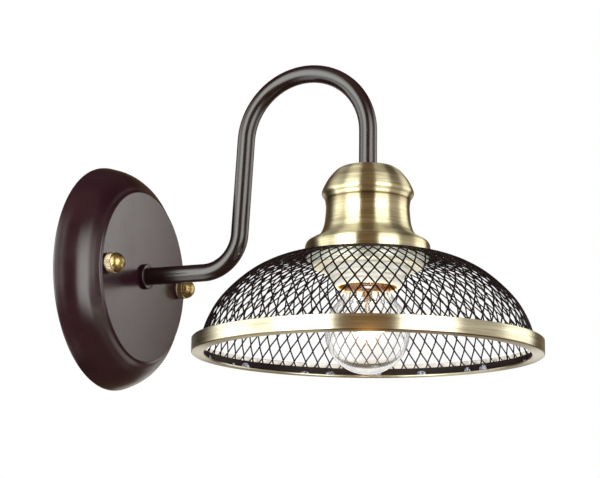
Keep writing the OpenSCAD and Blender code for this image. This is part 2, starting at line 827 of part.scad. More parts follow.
module rim_band() {
    corner = 0.8;
    color(antique_brass) lamp_axis() rotate_extrude() polygon(concat(
        [[rim_r - rim_lip - rim_sheet, 0]],
        arc([rim_r - corner, corner], corner, -90, 0, 3),
        [
            [rim_r, rim_height - 0.3], [rim_r - 0.3, rim_height], [rim_r - rim_sheet, rim_height],
            [rim_r - rim_sheet, rim_sheet], [rim_r - rim_lip - rim_sheet, rim_sheet]
        ]
    ));
}

// Shallow pan that presses the mesh's top border up against the cap
module gallery_cup() {
    path = concat(
        [[skirt_r + gap, cup_floor]],
        arc([cup_r - 2, cup_floor + 2], 2, -90, 0, 4),
        [[cup_r, cup_top - 1.6]],
        [[cup_r + 0.5, cup_top - cup_sheet], [flange_r - 1, cup_top - cup_sheet]]
    );
    color(antique_brass) lamp_axis() rotate_extrude() polygon(concat(
        path,
        [[flange_r - 1, cup_top], [cup_r - 0.2, cup_top], [cup_r - cup_sheet, cup_top - 1]],
        arc([cup_r - 2, cup_floor + 2], 2 - cup_sheet, 0, -90, 4),
        [[skirt_r + gap, cup_floor + cup_sheet]]
    ));
}

// Lampholder

module holder_dome() {
    wall = 2;
    path = concat(
        [[skirt_r, skirt_top + slip], [skirt_r, skirt_top + 5]],
        curve([[skirt_r - 0.4, skirt_top + 8], [skirt_r - 4, skirt_top + 14], [boss_r + 2, boss_top - 7],
            [boss_r, boss_top - 5]], 4),
        [[boss_r, boss_top]]
    );
    inner = [
        [m10_r + slip, boss_top], [m10_r + slip, boss_top - 9], [9, boss_top - 10.5],
        [skirt_r - 6, boss_top - 14], [skirt_r - wall, skirt_top + 6], [skirt_r - wall, skirt_top + slip]
    ];
    color(porcelain) lamp_axis() difference() {
        rotate_extrude() polygon(concat(path, inner));
        translate([0, 0, boss_top - 2.5]) rotate([90, 0, 0]) cylinder(r = 1.5 + slip, h = 2 * boss_r);
    }
}

module grub_screw() {
    color(zinc) lamp_axis() translate([0, -m10_r - slip, boss_top - 2.5]) rotate([90, 0, 0]) difference() {
        cylinder(r = 1.5, h = 3);
        translate([-2, -0.3, 2.2]) cube([4, 0.6, 1]);
    }
}

rivet_x = [-terminal_x, shell_bore_r + 1.4];
recess_top = insert_low + 2;

module holder_insert() {
    color(porcelain) lamp_axis() difference() {
        translate([0, 0, insert_low]) cylinder(r = insert_r, h = insert_top - insert_low);
        translate([0, 0, insert_low - 1]) cylinder(r = 10, h = 3);
        for (x = rivet_x)
            translate([x, 0, insert_low - 1]) cylinder(r = 1.2 + slip, h = insert_top - insert_low + 2);
    }
}

module holder_terminals() {
    color(bright_brass) lamp_axis() for (side = [-1, 1])
        translate([side * terminal_x, 0, insert_top + 0.6]) difference() {
            translate([-terminal_w / 2, -terminal_w / 2, 0]) cube([terminal_w, terminal_w, terminal_h]);
            translate([0, 0, 1]) cylinder(r = wire_r + 0.2, h = terminal_h);
            translate([0, -terminal_w, terminal_h - 2.5]) rotate([-90, 0, 0])
                cylinder(r = 1.25 + slip, h = terminal_w);
        }
}

module holder_terminal_screws() {
    color(zinc) lamp_axis() for (side = [-1, 1])
        translate([side * terminal_x, -wire_r - slip, insert_top + 0.6 + terminal_h - 2.5]) rotate([90, 0, 0]) {
            cylinder(r = 1.25, h = 3.6);
            translate([0, 0, terminal_w / 2 - wire_r]) difference() {
                cylinder(r = 2.1, h = 2.2);
                translate([-3, -0.3, 1.4]) cube([6, 0.6, 1]);
            }
        }
}

// One rivet carries the middle contact, the other the screw shell
module contact_rivets() {
    low = [recess_top - 1.1, shell_seat + slip];
    color(bright_brass) lamp_axis() {
        for (k = [0, 1]) translate([rivet_x[k], 0, low[k]]) {
            cylinder(r = 1.2, h = insert_top - low[k] + 0.5);
            translate([0, 0, insert_top - low[k] + slip]) cylinder(r = 2.2, h = 0.5);
        }
        translate([rivet_x[0], 0, low[0]]) cylinder(r = 2, h = 0.4);
    }
}

// Springy tongue that meets the bulb's contact
module centre_contact() {
    tongue = [
        [-9, recess_top - 0.6], [-4.8, recess_top - 0.6], [-2, tip_h + 0.5], [0, tip_h + 0.1],
        [2, tip_h + 0.25], [4, tip_h + 1.1]
    ];
    color(bright_brass) lamp_axis() difference() {
        translate([0, 2.5, 0]) rotate([90, 0, 0]) linear_extrude(height = 5) strip(tongue, 0.5);
        translate([rivet_x[0], 0, recess_top - 2]) cylinder(r = 1.2 + slip, h = 3);
    }
}

module holder_screw_shell() {
    low = mouth_h + 9;
    color(bright_brass) lamp_axis() difference() {
        rotate_extrude() polygon([
            [shell_bore_r, low], [shell_bore_r + shell_sheet, low], [shell_bore_r + shell_sheet, shell_seat + slip],
            [insert_r - 0.5, shell_seat + slip], [insert_r - 0.5, shell_seat + shell_sheet],
            [shell_bore_r, shell_seat + shell_sheet]
        ]);
        translate([rivet_x[1], 0, shell_seat - 1]) cylinder(r = 1.2 + slip, h = 3);
    }
}

module holder_skirt() {
    bore = shell_bore_r + shell_sheet + 0.15;
    floor_h = cup_floor + cup_sheet;
    color(porcelain) lamp_axis() rotate_extrude() polygon([
        [skirt_r - 1.4, mouth_h], [skirt_r - 0.4, mouth_h], [skirt_r, mouth_h + 0.6],
        [skirt_r, floor_h], [skirt_r + 3.4, floor_h], [skirt_r + 3.4, floor_h + skirt_collar_h],
        [skirt_r, floor_h + skirt_collar_h], [skirt_r, skirt_top], [insert_r + slip, skirt_top],
        [insert_r + slip, shell_seat], [bore, shell_seat], [bore, mouth_h + 8.5],
        [skirt_r - 2, mouth_h + 2.5]
    ]);
}

// Grooved ring that screws up the skirt and clamps the gallery cup
module shade_ring() {
    top_h = cup_floor - slip;
    low_h = mouth_h + 0.1;
    bottom_r = skirt_r + 1.3;
    top_r = skirt_r + 5.8;
    grooves = [0.26, 0.5, 0.76];
    function side_at(share) = [bottom_r + (top_r - bottom_r) * share, low_h + (top_h - 1.2 - low_h) * share];
    color(porcelain) lamp_axis() rotate_extrude() polygon(concat(
        [[skirt_r + slip, low_h], [bottom_r, low_h]],
        [for (g = grooves) each [side_at(g - 0.05), side_at(g) - [0.7, 0], side_at(g + 0.05)]],
        [side_at(1), [top_r, top_h], [skirt_r + slip, top_h]]
    ));
}

// Bulb

module bulb_tip_contact() {
    color(zinc) lamp_axis() translate([0, 0, tip_h - 1.2]) rotate_extrude() polygon([
        [0, 0], [4.7, 0], [4.7, 0.5], [3.8, 1], [2, 1.2], [0, 1.2]
    ]);
}

module bulb_insulator() {
    color("dimgray") lamp_axis() rotate_extrude() polygon([
        [0, shell_top], [neck_r, shell_top], [neck_r, shell_top + 0.4], [5.6, tip_h - 1.2 - slip],
        [0, tip_h - 1.2 - slip]
    ]);
}

// Screw shell, with the round crests and roots of its rolled thread
module bulb_screw_shell() {
    steps = 8;
    mean_r = shell_crest_r - thread_depth / 2;
    wall = 0.35;
    wave = [for (i = [0 : shell_turns * steps])
        [mean_r - thread_depth / 2 * cos(360 * i / steps), shell_top - 1 - bulb_pitch * i / steps]];
    outer = concat(
        [[neck_r + slip, shell_top - slip], [shell_crest_r - thread_depth - 0.2, shell_top - 0.4]],
        wave,
        [[shell_crest_r - thread_depth, shell_bottom]]
    );
    inner_r = shell_crest_r - thread_depth - wall;
    color(bright_brass) lamp_axis() rotate_extrude() polygon(concat(
        outer, [[inner_r, shell_bottom], [inner_r, shell_top - 1], [5.6, shell_top - 0.6], [5.6, shell_top - slip]]
    ));
}

glass_low_path = concat(
    arc([0, globe_centre], globe_r, -90, 38, 24),
    curve([
        globe_r * [cos(44), sin(44)] + [0, globe_centre],
        [16.3, globe_centre + 24],
        [14.4, globe_centre + 29],
        [13.2, globe_centre + 33],
        [neck_r - 0.15, shell_bottom - 0.6]
    ], 4),
    [[neck_r - 0.15, shell_bottom + 8]]
);

module bulb_glass() {
    color(clear_glass) lamp_axis() rotate_extrude() {
        inner = [for (p = backwards(beside(glass_low_path, glass_t))) if (p.x > 0) p];
        polygon(concat(glass_low_path, inner, [[0, bulb_bottom + glass_t]]));
    }
}

stem_low = filament_h + 8;
press_top = stem_low + 15;

// Flare, press and rod of the glass stem
module bulb_stem() {
    color(clear_glass) lamp_axis() {
        rotate_extrude() polygon([
            [0, stem_low + 3], [0.9, stem_low + 3], [0.9, stem_low + 9], [2.6, stem_low + 11],
            [3, press_top], [4.4, press_top + 5], [neck_r - 1.4, shell_bottom + 7.5],
            [neck_r - 2.2, shell_bottom + 7.5], [3.4, press_top + 5], [0, press_top + 4]
        ]);
        translate([0, 0, stem_low + 2]) sphere(r = 1.8);
    }
}

// From the press down beside the rod, then out to the two ends of the filament
module bulb_lead_wires() {
    lead_x = 3.6;
    bend_r = 2;
    spread = 55;
    slant = (filament_r - lead_x - bend_r * (1 - cos(spread))) / sin(spread);
    low = filament_h + 0.7 + slant * cos(spread) + bend_r * sin(spread);
    color("peru") lamp_axis() for (side = [-1, 1])
        translate([side * lead_x, 0, press_top]) rotate([180, 0, 0])
            run([[press_top - low], [bend_r, spread, 90 - side * 90], [slant]], 0.3, $fn = 24);
}

module bulb_filament() {
    color([1, 0.75, 0.35]) lamp_axis() translate([0, 0, filament_h]) rotate([0, 0, 180])
        rotate_extrude(angle = 180) translate([filament_r, 0]) circle(r = 0.35);
}

module filament_supports() {
    color("slategray") lamp_axis() for (a = [-135, -90, -45])
        rod([1.6 * cos(a), 1.6 * sin(a), stem_low + 1.2],
            [(filament_r - 0.8) * cos(a), (filament_r - 0.8) * sin(a), filament_h + 0.2], 0.2);
}

backplate();
wall_bracket();
left_stud();
right_stud();
stud_lock_nuts();
left_finial();
right_finial();
left_washer();
right_washer();
terminal_block();
terminal_tubes();
terminal_screws();
terminal_fixing_screw();
earth_screw();
earth_lug();
live_wire();
neutral_wire();
earth_wire();
arm_tube();
arm_collar();
arm_nipple();
arm_lock_washer();
arm_lock_nut();
nipple_bush();
head_nipple();
cap_lock_washer();
cap_lock_nut();
socket_cap();
shade_mesh();
rim_band();
gallery_cup();
holder_dome();
grub_screw();
holder_insert();
holder_terminals();
holder_terminal_screws();
contact_rivets();
centre_contact();
holder_screw_shell();
holder_skirt();
shade_ring();
bulb_tip_contact();
bulb_insulator();
bulb_screw_shell();
bulb_glass();
bulb_stem();
bulb_lead_wires();
bulb_filament();
filament_supports();
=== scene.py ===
"""The looks of a gooseneck wall sconce with a domed wire-mesh shade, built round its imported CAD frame.

Sizes are millimetres until they go into a mesh. Outlines are (radius, height) for a piece on the lamp's
vertical axis, with height above the underside of the shade's rim, and (radius, distance from the wall)
for a piece on the arm's wall axis.
"""

import math
import random

import bmesh
import bpy
from mathutils import Matrix, Vector


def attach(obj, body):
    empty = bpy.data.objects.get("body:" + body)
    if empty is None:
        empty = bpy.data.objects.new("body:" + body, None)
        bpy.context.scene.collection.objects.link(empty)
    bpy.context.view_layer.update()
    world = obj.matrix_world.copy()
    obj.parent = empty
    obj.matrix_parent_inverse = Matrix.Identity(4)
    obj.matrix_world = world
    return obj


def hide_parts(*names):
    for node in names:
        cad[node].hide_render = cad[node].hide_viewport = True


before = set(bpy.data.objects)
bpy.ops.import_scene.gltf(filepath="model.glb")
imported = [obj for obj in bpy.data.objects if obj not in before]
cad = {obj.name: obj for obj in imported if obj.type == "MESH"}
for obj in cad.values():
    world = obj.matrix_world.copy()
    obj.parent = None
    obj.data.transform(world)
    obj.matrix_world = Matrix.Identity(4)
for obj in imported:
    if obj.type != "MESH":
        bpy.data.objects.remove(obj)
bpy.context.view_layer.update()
scene = bpy.context.scene
MM = 0.001

# Sizes of the CAD part
REACH = 190.0
RIM_DROP = 62.3
TUBE_R = 6.0
TUBE_WALL = 1.0
NIPPLE_HOLE_R = 5.3
PLATE_SHEET = 1.0
CAP_SHEET = 0.8
PLATE_DEPTH = 26.0
PLATE_R = 77.8
FACE_R = 59.5
FLANK_DEPTH = PLATE_DEPTH - 2.4
FLANK_ROOT_R = FACE_R + 3.0
ARM_STRAIGHT = 45.2
COLLAR_FRONT = PLATE_DEPTH + 3.0
LOW_BEND_R = 26.4
RISER_LENGTH = 65.9
RISER_TURN = math.radians(87.0)
CAP_TOP = 124.8
FLANGE_R = 40.9
WAIST_R = 27.5
BEAD_R = 30.4
SHADE_TOP = 65.4
FLANGE_BOTTOM = SHADE_TOP + 0.05
FLANGE_TOP = FLANGE_BOTTOM + 6.6
RIM_R = 113.0
RIM_HEIGHT = 9.5
CUP_R = 36.9
CUP_FLOOR = 58.0
MOUTH_H = 45.0
SKIRT_R = 20.0
STUD_X = 51.1
FINIAL_R = 7.0
FINIAL_BASE = PLATE_DEPTH + 0.85
FINIAL_SKIRT = 5.0
FINIAL_DOME = 6.0
TIP_H = 80.0
GLOBE_R = 27.4
BULB_BOTTOM = TIP_H - 91.6
GLOBE_CENTRE = BULB_BOTTOM + GLOBE_R


# Curves and outlines

def curve(keys, steps):
    """Points on a smooth curve through the keys."""
    out = []
    for i in range(len(keys) - 1):
        a, b = keys[max(i - 1, 0)], keys[i]
        c, d = keys[i + 1], keys[min(i + 2, len(keys) - 1)]
        for k in range(steps):
            t = k / steps
            out.append(tuple(
                0.5 * (2 * b[n] + (c[n] - a[n]) * t + (2 * a[n] - 5 * b[n] + 4 * c[n] - d[n]) * t * t
                       + (3 * b[n] - a[n] - 3 * c[n] + d[n]) * t ** 3)
                for n in range(2)
            ))
    out.append(tuple(keys[-1]))
    return out


def arc(centre, r, start, end, steps):
    """Points on an arc between two angles in degrees."""
    angles = [math.radians(start + (end - start) * i / steps) for i in range(steps + 1)]
    return [(centre[0] + r * math.cos(a), centre[1] + r * math.sin(a)) for a in angles]


def beside(path, distance):
    """The path moved sideways to its left."""
    out = []
    for i in range(len(path)):
        a, b = path[max(i - 1, 0)], path[min(i + 1, len(path) - 1)]
        dx, dy = b[0] - a[0], b[1] - a[1]
        n = math.hypot(dx, dy)
        out.append((path[i][0] - distance * dy / n, path[i][1] + distance * dx / n))
    return out


# Meshes

def finished(name, points, faces, body, slot, replaces=(), sharp=35.0):
    """A piece from points in millimetres. Edges that turn by more than sharp degrees stay crisp."""
    mesh = bpy.data.meshes.new(name)
    mesh.from_pydata([Vector(p) * MM for p in points], [], faces)
    mesh.validate()
    mesh.update()
    mesh.shade_smooth()
    mesh.set_sharp_from_angle(angle=math.radians(sharp))
    piece = bpy.data.objects.new(name, mesh)
    scene.collection.objects.link(piece)
    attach(piece, body)
    if replaces:
        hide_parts(*replaces)
    return piece


def lamp_point(r, h, a):
    return (r * math.cos(a), -REACH + r * math.sin(a), h - RIM_DROP)


def wall_point(r, u, a, x=0.0):
    return (x + r * math.cos(a), -u, r * math.sin(a))


def turned(outline, place, segments):
    """Points and faces of a closed outline, turned round an axis. A point on the axis becomes one vertex."""
    points, rings = [], []
    for r, h in outline:
        if r < 1e-6:
            rings.append([len(points)] * segments)
            points.append(place(0.0, h, 0.0))
        else:
            rings.append(list(range(len(points), len(points) + segments)))
            points += [place(r, h, 2 * math.pi * k / segments) for k in range(segments)]
    faces = []
    for i in range(len(rings)):
        low, high = rings[i], rings[(i + 1) % len(rings)]
        if low[0] == low[1] and high[0] == high[1]:
            continue
        for k in range(segments):
            m = (k + 1) % segments
            quad = [low[k], low[m], high[m], high[k]]
            face = [v for n, v in enumerate(quad) if v not in quad[:n]]
            if len(face) > 2:
                faces.append(face)
    return points, faces


def outward(piece):
    """Turns the faces of a closed piece to the outside."""
    work = bmesh.new()
    work.from_mesh(piece.data)
    bmesh.ops.recalc_face_normals(work, faces=work.faces)
    work.to_mesh(piece.data)
    work.free()
    return piece


def lathe(name, outline, place, body, slot, replaces=(), segments=192, sharp=35.0):
    points, faces = turned(outline, place, segments)
    return outward(finished(name, points, faces, body, slot, replaces, sharp))


def ring_faces(low, high, count):
    """Faces between two rings of points, each given by the number of its first point."""
    return [[low + k, low + (k + 1) % count, high + (k + 1) % count, high + k] for k in range(count)]


def swept(path, radius, sides, closed_ends=True, flat=None):
    """Points and faces of a bar along a path of 3-D points. flat gives an outward direction at each point and
    the share of the radius that the bar keeps along it."""
    points, faces = [], []
    tangents = []
    for i in range(len(path)):
        a, b = Vector(path[max(i - 1, 0)]), Vector(path[min(i + 1, len(path) - 1)])
        tangents.append((b - a).normalized())
    if flat:
        normal = Vector(flat[0][0])
    else:
        normal = tangents[0].orthogonal().normalized()
    for i, p in enumerate(path):
        t = tangents[i]
        if flat:
            normal = Vector(flat[0][i])
        normal = (normal - t * normal.dot(t)).normalized()
        other = t.cross(normal)
        out_radius = radius * (flat[1] if flat else 1.0)
        for k in range(sides):
            a = 2 * math.pi * k / sides
            points.append(Vector(p) + normal * out_radius * math.cos(a) + other * radius * math.sin(a))
    for i in range(len(path) - 1):
        faces += ring_faces(i * sides, (i + 1) * sides, sides)
    if closed_ends:
        faces.append(list(reversed(range(sides))))
        last = (len(path) - 1) * sides
        faces.append(list(range(last, last + sides)))
    return points, faces


def joined(parts):
    """Several lots of points and faces as one."""
    points, faces = [], []
    for more_points, more_faces in parts:
        base = len(points)
        points += list(more_points)
        faces += [[v + base for v in f] for f in more_faces]
    return points, faces


# Camera: fitted to the shade's rim, the wall plate and the arm in the photograph

CAMERA_AZIMUTH = math.radians(-67.06)
CAMERA_RISE = math.radians(12.27)
CAMERA_ROLL = math.radians(0.79)
CAMERA_DISTANCE = 970.1
FOCAL_PIXELS = 1509.6
PICTURE_WIDTH = 600.0
PICTURE_HEIGHT = 478.0
RIM_CENTRE_X = 367.17
RIM_CENTRE_Y = 356.6

back = Vector((
    math.sin(CAMERA_AZIMUTH) * math.cos(CAMERA_RISE),
    -math.cos(CAMERA_AZIMUTH) * math.cos(CAMERA_RISE),
    -math.sin(CAMERA_RISE),
))
level = Vector((math.cos(CAMERA_AZIMUTH), math.sin(CAMERA_AZIMUTH), 0.0))
upright = level.cross(-back)
side = level * math.cos(CAMERA_ROLL) + upright * math.sin(CAMERA_ROLL)
top = upright * math.cos(CAMERA_ROLL) - level * math.sin(CAMERA_ROLL)
shift_x = (RIM_CENTRE_X - PICTURE_WIDTH / 2) / FOCAL_PIXELS
shift_y = (PICTURE_HEIGHT / 2 - RIM_CENTRE_Y) / FOCAL_PIXELS
rim_centre = Vector((0.0, -REACH, -RIM_DROP))
place = rim_centre + CAMERA_DISTANCE * (back - shift_x * side - shift_y * top)

camera_data = bpy.data.cameras.new("camera")
camera_data.sensor_width = 36.0
camera_data.sensor_fit = "HORIZONTAL"
camera_data.lens = camera_data.sensor_width * FOCAL_PIXELS / PICTURE_WIDTH
camera = bpy.data.objects.new("camera", camera_data)
turn = Matrix((side, top, back)).transposed()
camera.matrix_world = Matrix.Translation(place * MM) @ turn.to_4x4()
scene.collection.objects.link(camera)
scene.camera = camera


# Materials

def add_node(tree, kind, inputs=None, **settings):
    """A new node. An input is a value, or the socket that feeds it."""
    node = tree.nodes.new(kind)
    for key, value in settings.items():
        setattr(node, key, value)
    for key, value in (inputs or {}).items():
        socket = node.inputs[key]
        if isinstance(value, bpy.types.NodeSocket):
            tree.links.new(value, socket)
        else:
            socket.default_value = value
    return node


class Nodes:
    """A new material, and short ways to add nodes to it."""

    def __init__(self, name):
        self.material = bpy.data.materials.new(name)
        self.material.use_nodes = True
        self.tree = self.material.node_tree
        self.tree.nodes.clear()
        self.out = self.tree.nodes.new("ShaderNodeOutputMaterial")

    def add(self, kind, inputs=None, **settings):
        return add_node(self.tree, kind, inputs, **settings)

    def math(self, operation, a, b=None, c=None):
        values = {0: a}
        if b is not None:
            values[1] = b
        if c is not None:
            values[2] = c
        return self.add("ShaderNodeMath", values, operation=operation).outputs[0]

    def between(self, value, low, high, to_low=0.0, to_high=1.0):
        node = self.add("ShaderNodeMapRange", {
            "Value": value, "From Min": low, "From Max": high, "To Min": to_low, "To Max": to_high,
        })
        return node.outputs["Result"]

    def mix(self, share, a, b):
        node = self.add("ShaderNodeMix", {0: share, 6: a, 7: b}, data_type="RGBA")
        return node.outputs[2]

    def noise(self, vector, scale, detail, roughness):
        node = self.add("ShaderNodeTexNoise", {
            "Vector": vector, "Scale": scale, "Detail": detail, "Roughness": roughness,
        })
        return node.outputs["Fac"]

    def place(self):
        return self.add("ShaderNodeTexCoord").outputs["Object"]

    def bump(self, height, strength, distance):
        inputs = {"Height": height, "Strength": strength, "Distance": distance}
        return self.add("ShaderNodeBump", inputs).outputs["Normal"]

    def from_lamp_axis(self, at):
        """A point's x, y and z, with x and y from the lamp's vertical axis, and its radius round it."""
        split = self.add("ShaderNodeSeparateXYZ", {0: at})
        x, y, z = split.outputs[0], self.math("ADD", split.outputs[1], REACH * MM), split.outputs[2]
        r = self.math("SQRT", self.math("ADD", self.math("MULTIPLY", x, x), self.math("MULTIPLY", y, y)))
        return x, y, z, r


def principled(n, **inputs):
    """Ends a material's tree in a principled surface."""
    names = {
        "colour": "Base Color", "metal": "Metallic", "rough": "Roughness", "ior": "IOR",
        "normal": "Normal", "coat": "Coat Weight", "specular": "Specular IOR Level",
        "anisotropy": "Anisotropic", "turn": "Anisotropic Rotation", "tangent": "Tangent",
        "transmission": "Transmission Weight", "tint": "Specular Tint",
        "emission": "Emission Color", "glow": "Emission Strength", "subsurface": "Subsurface Weight",
    }
    shader = n.add("ShaderNodeBsdfPrincipled", {names[k]: v for k, v in inputs.items()})
    n.tree.links.new(shader.outputs[0], n.out.inputs["Surface"])


def worn_edges(n, radius):
    """How near a point is to a sharp edge: 1 on the edge, 0 on an open face."""
    bevel = n.add("ShaderNodeBevel", {"Radius": radius}, samples=6)
    shape = n.add("ShaderNodeNewGeometry")
    dot = n.add("ShaderNodeVectorMath", {0: bevel.outputs[0], 1: shape.outputs["Normal"]},
                operation="DOT_PRODUCT").outputs["Value"]
    return n.between(dot, 0.995, 0.93)


def bronze_paint(name, colour, rough, speckle=1.0, gloss=1.0, tint=(1.0, 1.0, 1.0)):
    """Satin bronze paint: almost black, with fine flake, slight orange peel and cloudy gloss."""
    n = Nodes(name)
    at = n.place()
    cloud = n.noise(at, 60.0, 3.0, 0.6)
    flake = n.noise(at, 5200.0, 1.0, 0.5)
    peel = n.noise(at, 1500.0, 2.0, 0.5)
    deep = tuple(c * 0.82 for c in colour)
    light = tuple(min(1.0, c * 1.2) for c in colour)
    tone = n.mix(n.between(cloud, 0.35, 0.65), (*deep, 1), (*light, 1))
    bright = n.between(flake, 0.62, 0.74, 0.0, 0.5 * speckle)
    tone = n.mix(bright, tone, (colour[0] * 3.2, colour[1] * 2.9, colour[2] * 2.8, 1))
    principled(
        n, colour=tone, specular=gloss, tint=(*tint, 1), ior=1.5,
        rough=n.between(cloud, 0.3, 0.7, rough - 0.03, rough + 0.035),
        normal=n.bump(peel, 0.08, 0.00005),
    )
    return n.material


def turned_brass(name, colour=(0.60, 0.585, 0.40)):
    """Antique brass with fine rings from brushing on a lathe. Painted shade darkens the cap's crease and the
    rim's lower corner, and painted light makes the rim's inside wall pale and not metallic."""
    n = Nodes(name)
    at = n.place()
    x, y, z, r = n.from_lamp_axis(at)
    # A ring is where radius and height both stay the same, so the pattern runs across them
    across = n.add("ShaderNodeCombineXYZ", {
        0: n.math("MULTIPLY", x, 3.0), 1: n.math("MULTIPLY", y, 3.0),
        2: n.math("MULTIPLY_ADD", r, 0.8, z),
    }).outputs[0]
    stretch = n.add("ShaderNodeMapping", {"Vector": across, "Scale": (1.0, 1.0, 90.0)}).outputs[0]
    fine = n.noise(stretch, 15.0, 3.0, 0.6)
    coarse = n.noise(stretch, 4.5, 3.0, 0.55)
    stain = n.noise(at, 45.0, 3.0, 0.6)
    streaks = n.math("ADD", n.math("MULTIPLY", fine, 0.55), n.math("MULTIPLY", coarse, 0.45))
    dark = (colour[0] * 0.7, colour[1] * 0.66, colour[2] * 0.58)
    light = tuple(min(1.0, c * 1.15) for c in colour)
    tone = n.mix(n.between(streaks, 0.38, 0.62), (*dark, 1), (*light, 1))
    stained = (colour[0] * 0.7, colour[1] * 0.64, colour[2] * 0.5)
    tone = n.mix(n.between(stain, 0.5, 0.75, 0.0, 0.3), tone, (*stained, 1))
    # Painted shade: a dark line in the crease under the cap's bead, standing in for the shade of that concave
    # corner
    crease_z = (CAP_TOP - 22.3 - RIM_DROP) * MM
    apart = n.math("DIVIDE", n.math("SUBTRACT", z, crease_z), 0.9 * MM)
    line = n.math("DIVIDE", 1.0, n.math("ADD", n.math("POWER", apart, 2.0), 1.0))
    tone = n.mix(n.between(line, 0.15, 1.0, 0.0, 0.7), tone, (0.13, 0.085, 0.04, 1))
    # The painted shade thins out down the waist
    waist_shade = n.math("MULTIPLY", n.between(z, crease_z - 7 * MM, crease_z - 0.5 * MM),
                   n.between(z, crease_z + 0.4 * MM, crease_z))
    tone = n.mix(n.math("MULTIPLY", waist_shade, 0.55), tone, (0.13, 0.085, 0.04, 1))
    # Painted shade darkens the rim's lower corner, and painted light makes its inside wall pale and not
    # metallic
    corner_z = (0.8 - RIM_DROP) * MM
    corner = n.math("MULTIPLY", n.between(z, corner_z, corner_z - 0.2 * MM),
                    n.between(r, (RIM_R - 0.75) * MM, (RIM_R - 0.55) * MM))
    tone = n.mix(n.math("MULTIPLY", corner, 0.85), tone, (0.12, 0.06, 0.015, 1))
    inside = n.math("MULTIPLY", n.between(z, (1.1 - RIM_DROP) * MM, (1.3 - RIM_DROP) * MM),
                    n.between(z, (RIM_HEIGHT - 0.1 - RIM_DROP) * MM, (RIM_HEIGHT - 0.4 - RIM_DROP) * MM))
    inside = n.math("MULTIPLY", inside, n.between(r, (RIM_R - 0.4) * MM, (RIM_R - 0.6) * MM))
    inside = n.math("MULTIPLY", inside, n.between(r, (RIM_R - 4) * MM, (RIM_R - 3) * MM))
    tone = n.mix(inside, tone, (0.98, 0.99, 0.99, 1))
    ring = n.add("ShaderNodeTangent", direction_type="RADIAL", axis="Z").outputs[0]
    principled(
        n, colour=tone, metal=n.math("SUBTRACT", 1.0, inside), anisotropy=1.0, turn=0.25, tangent=ring,
        rough=n.between(streaks, 0.3, 0.7, 0.3, 0.36), normal=n.bump(fine, 0.16, 0.00003),
    )
    return n.material


def nut_brass(name):
    """Antique brass, bright on its worn high spots, with its hollows darkened partly by patina and partly as
    painted shade.
    """
    n = Nodes(name)
    at = n.place()
    edge = worn_edges(n, 0.0005)
    shape = n.add("ShaderNodeNewGeometry")
    hollow_patina_and_shade = n.between(shape.outputs["Pointiness"], 0.44, 0.53)
    spot = n.noise(at, 900.0, 4.0, 0.65)
    tone = n.mix(n.between(spot, 0.38, 0.62), (0.26, 0.185, 0.065, 1), (0.60, 0.49, 0.21, 1))
    # Darker in the hollows: partly patina, partly painted shade
    tone = n.mix(n.between(hollow_patina_and_shade, 0.0, 1.0, 0.95, 0.0), tone, (0.05, 0.035, 0.03, 1))
    tone = n.mix(n.math("MULTIPLY", edge, 0.8), tone, (0.8, 0.74, 0.62, 1))
    principled(
        n, colour=tone, metal=1.0, rough=n.between(spot, 0.3, 0.7, 0.2, 0.42),
        normal=n.bump(spot, 0.35, 0.00012),
    )
    return n.material


def brass_painted_bright(name):
    """Thin brass made pale, satin and a little milky, with faint rings: the pale tone on a part-metal surface
    paints the bright reflection that the cup shows.
    """
    n = Nodes(name)
    at = n.place()
    split = n.add("ShaderNodeSeparateXYZ", {0: at})
    rings = n.add("ShaderNodeCombineXYZ", {2: n.math("MULTIPLY", split.outputs[2], 60.0)}).outputs[0]
    band = n.noise(rings, 16.0, 3.0, 0.6)
    # Painted reflection: a pale tone stands in for the white light that the brass cup mirrors
    tone = n.mix(n.between(band, 0.38, 0.62), (0.42, 0.44, 0.35, 1), (0.86, 0.90, 0.82, 1))
    principled(n, colour=tone, metal=0.35, rough=n.between(band, 0.3, 0.7, 0.3, 0.4),
               normal=n.bump(band, 0.15, 0.00008))
    return n.material


def bare_metal(name, colour, rough, spread=0.07):
    """Plated or bare metal with cloudy gloss and fine drawn grain."""
    n = Nodes(name)
    at = n.place()
    cloud = n.noise(at, 160.0, 4.0, 0.6)
    grit = n.noise(at, 1800.0, 2.0, 0.5)
    dark = tuple(c * 0.78 for c in colour)
    tone = n.mix(n.between(cloud, 0.35, 0.7), (*dark, 1), (*colour, 1))
    edge = worn_edges(n, 0.0004)
    tone = n.mix(n.math("MULTIPLY", edge, 0.45), tone, tuple(min(1.0, c * 1.25) for c in colour) + (1,))
    principled(
        n, colour=tone, metal=1.0, rough=n.between(cloud, 0.3, 0.7, rough - spread, rough + spread),
        normal=n.bump(grit, 0.12, 0.00004),
    )
    return n.material


def moulded(name, colour, rough, subsurface=0.0, mark=0.06):
    """Moulded plastic or unglazed ceramic: even, with faint clouds and a fine skin."""
    n = Nodes(name)
    at = n.place()
    cloud = n.noise(at, 90.0, 3.0, 0.5)
    skin = n.noise(at, 2600.0, 2.0, 0.5)
    dark = tuple(c * 0.93 for c in colour)
    tone = n.mix(n.between(cloud, 0.3, 0.7), (*dark, 1), (*colour, 1))
    principled(
        n, colour=tone, rough=n.between(cloud, 0.3, 0.7, rough - 0.04, rough + 0.05), ior=1.5,
        normal=n.bump(skin, mark, 0.00003), subsurface=subsurface,
    )
    return n.material


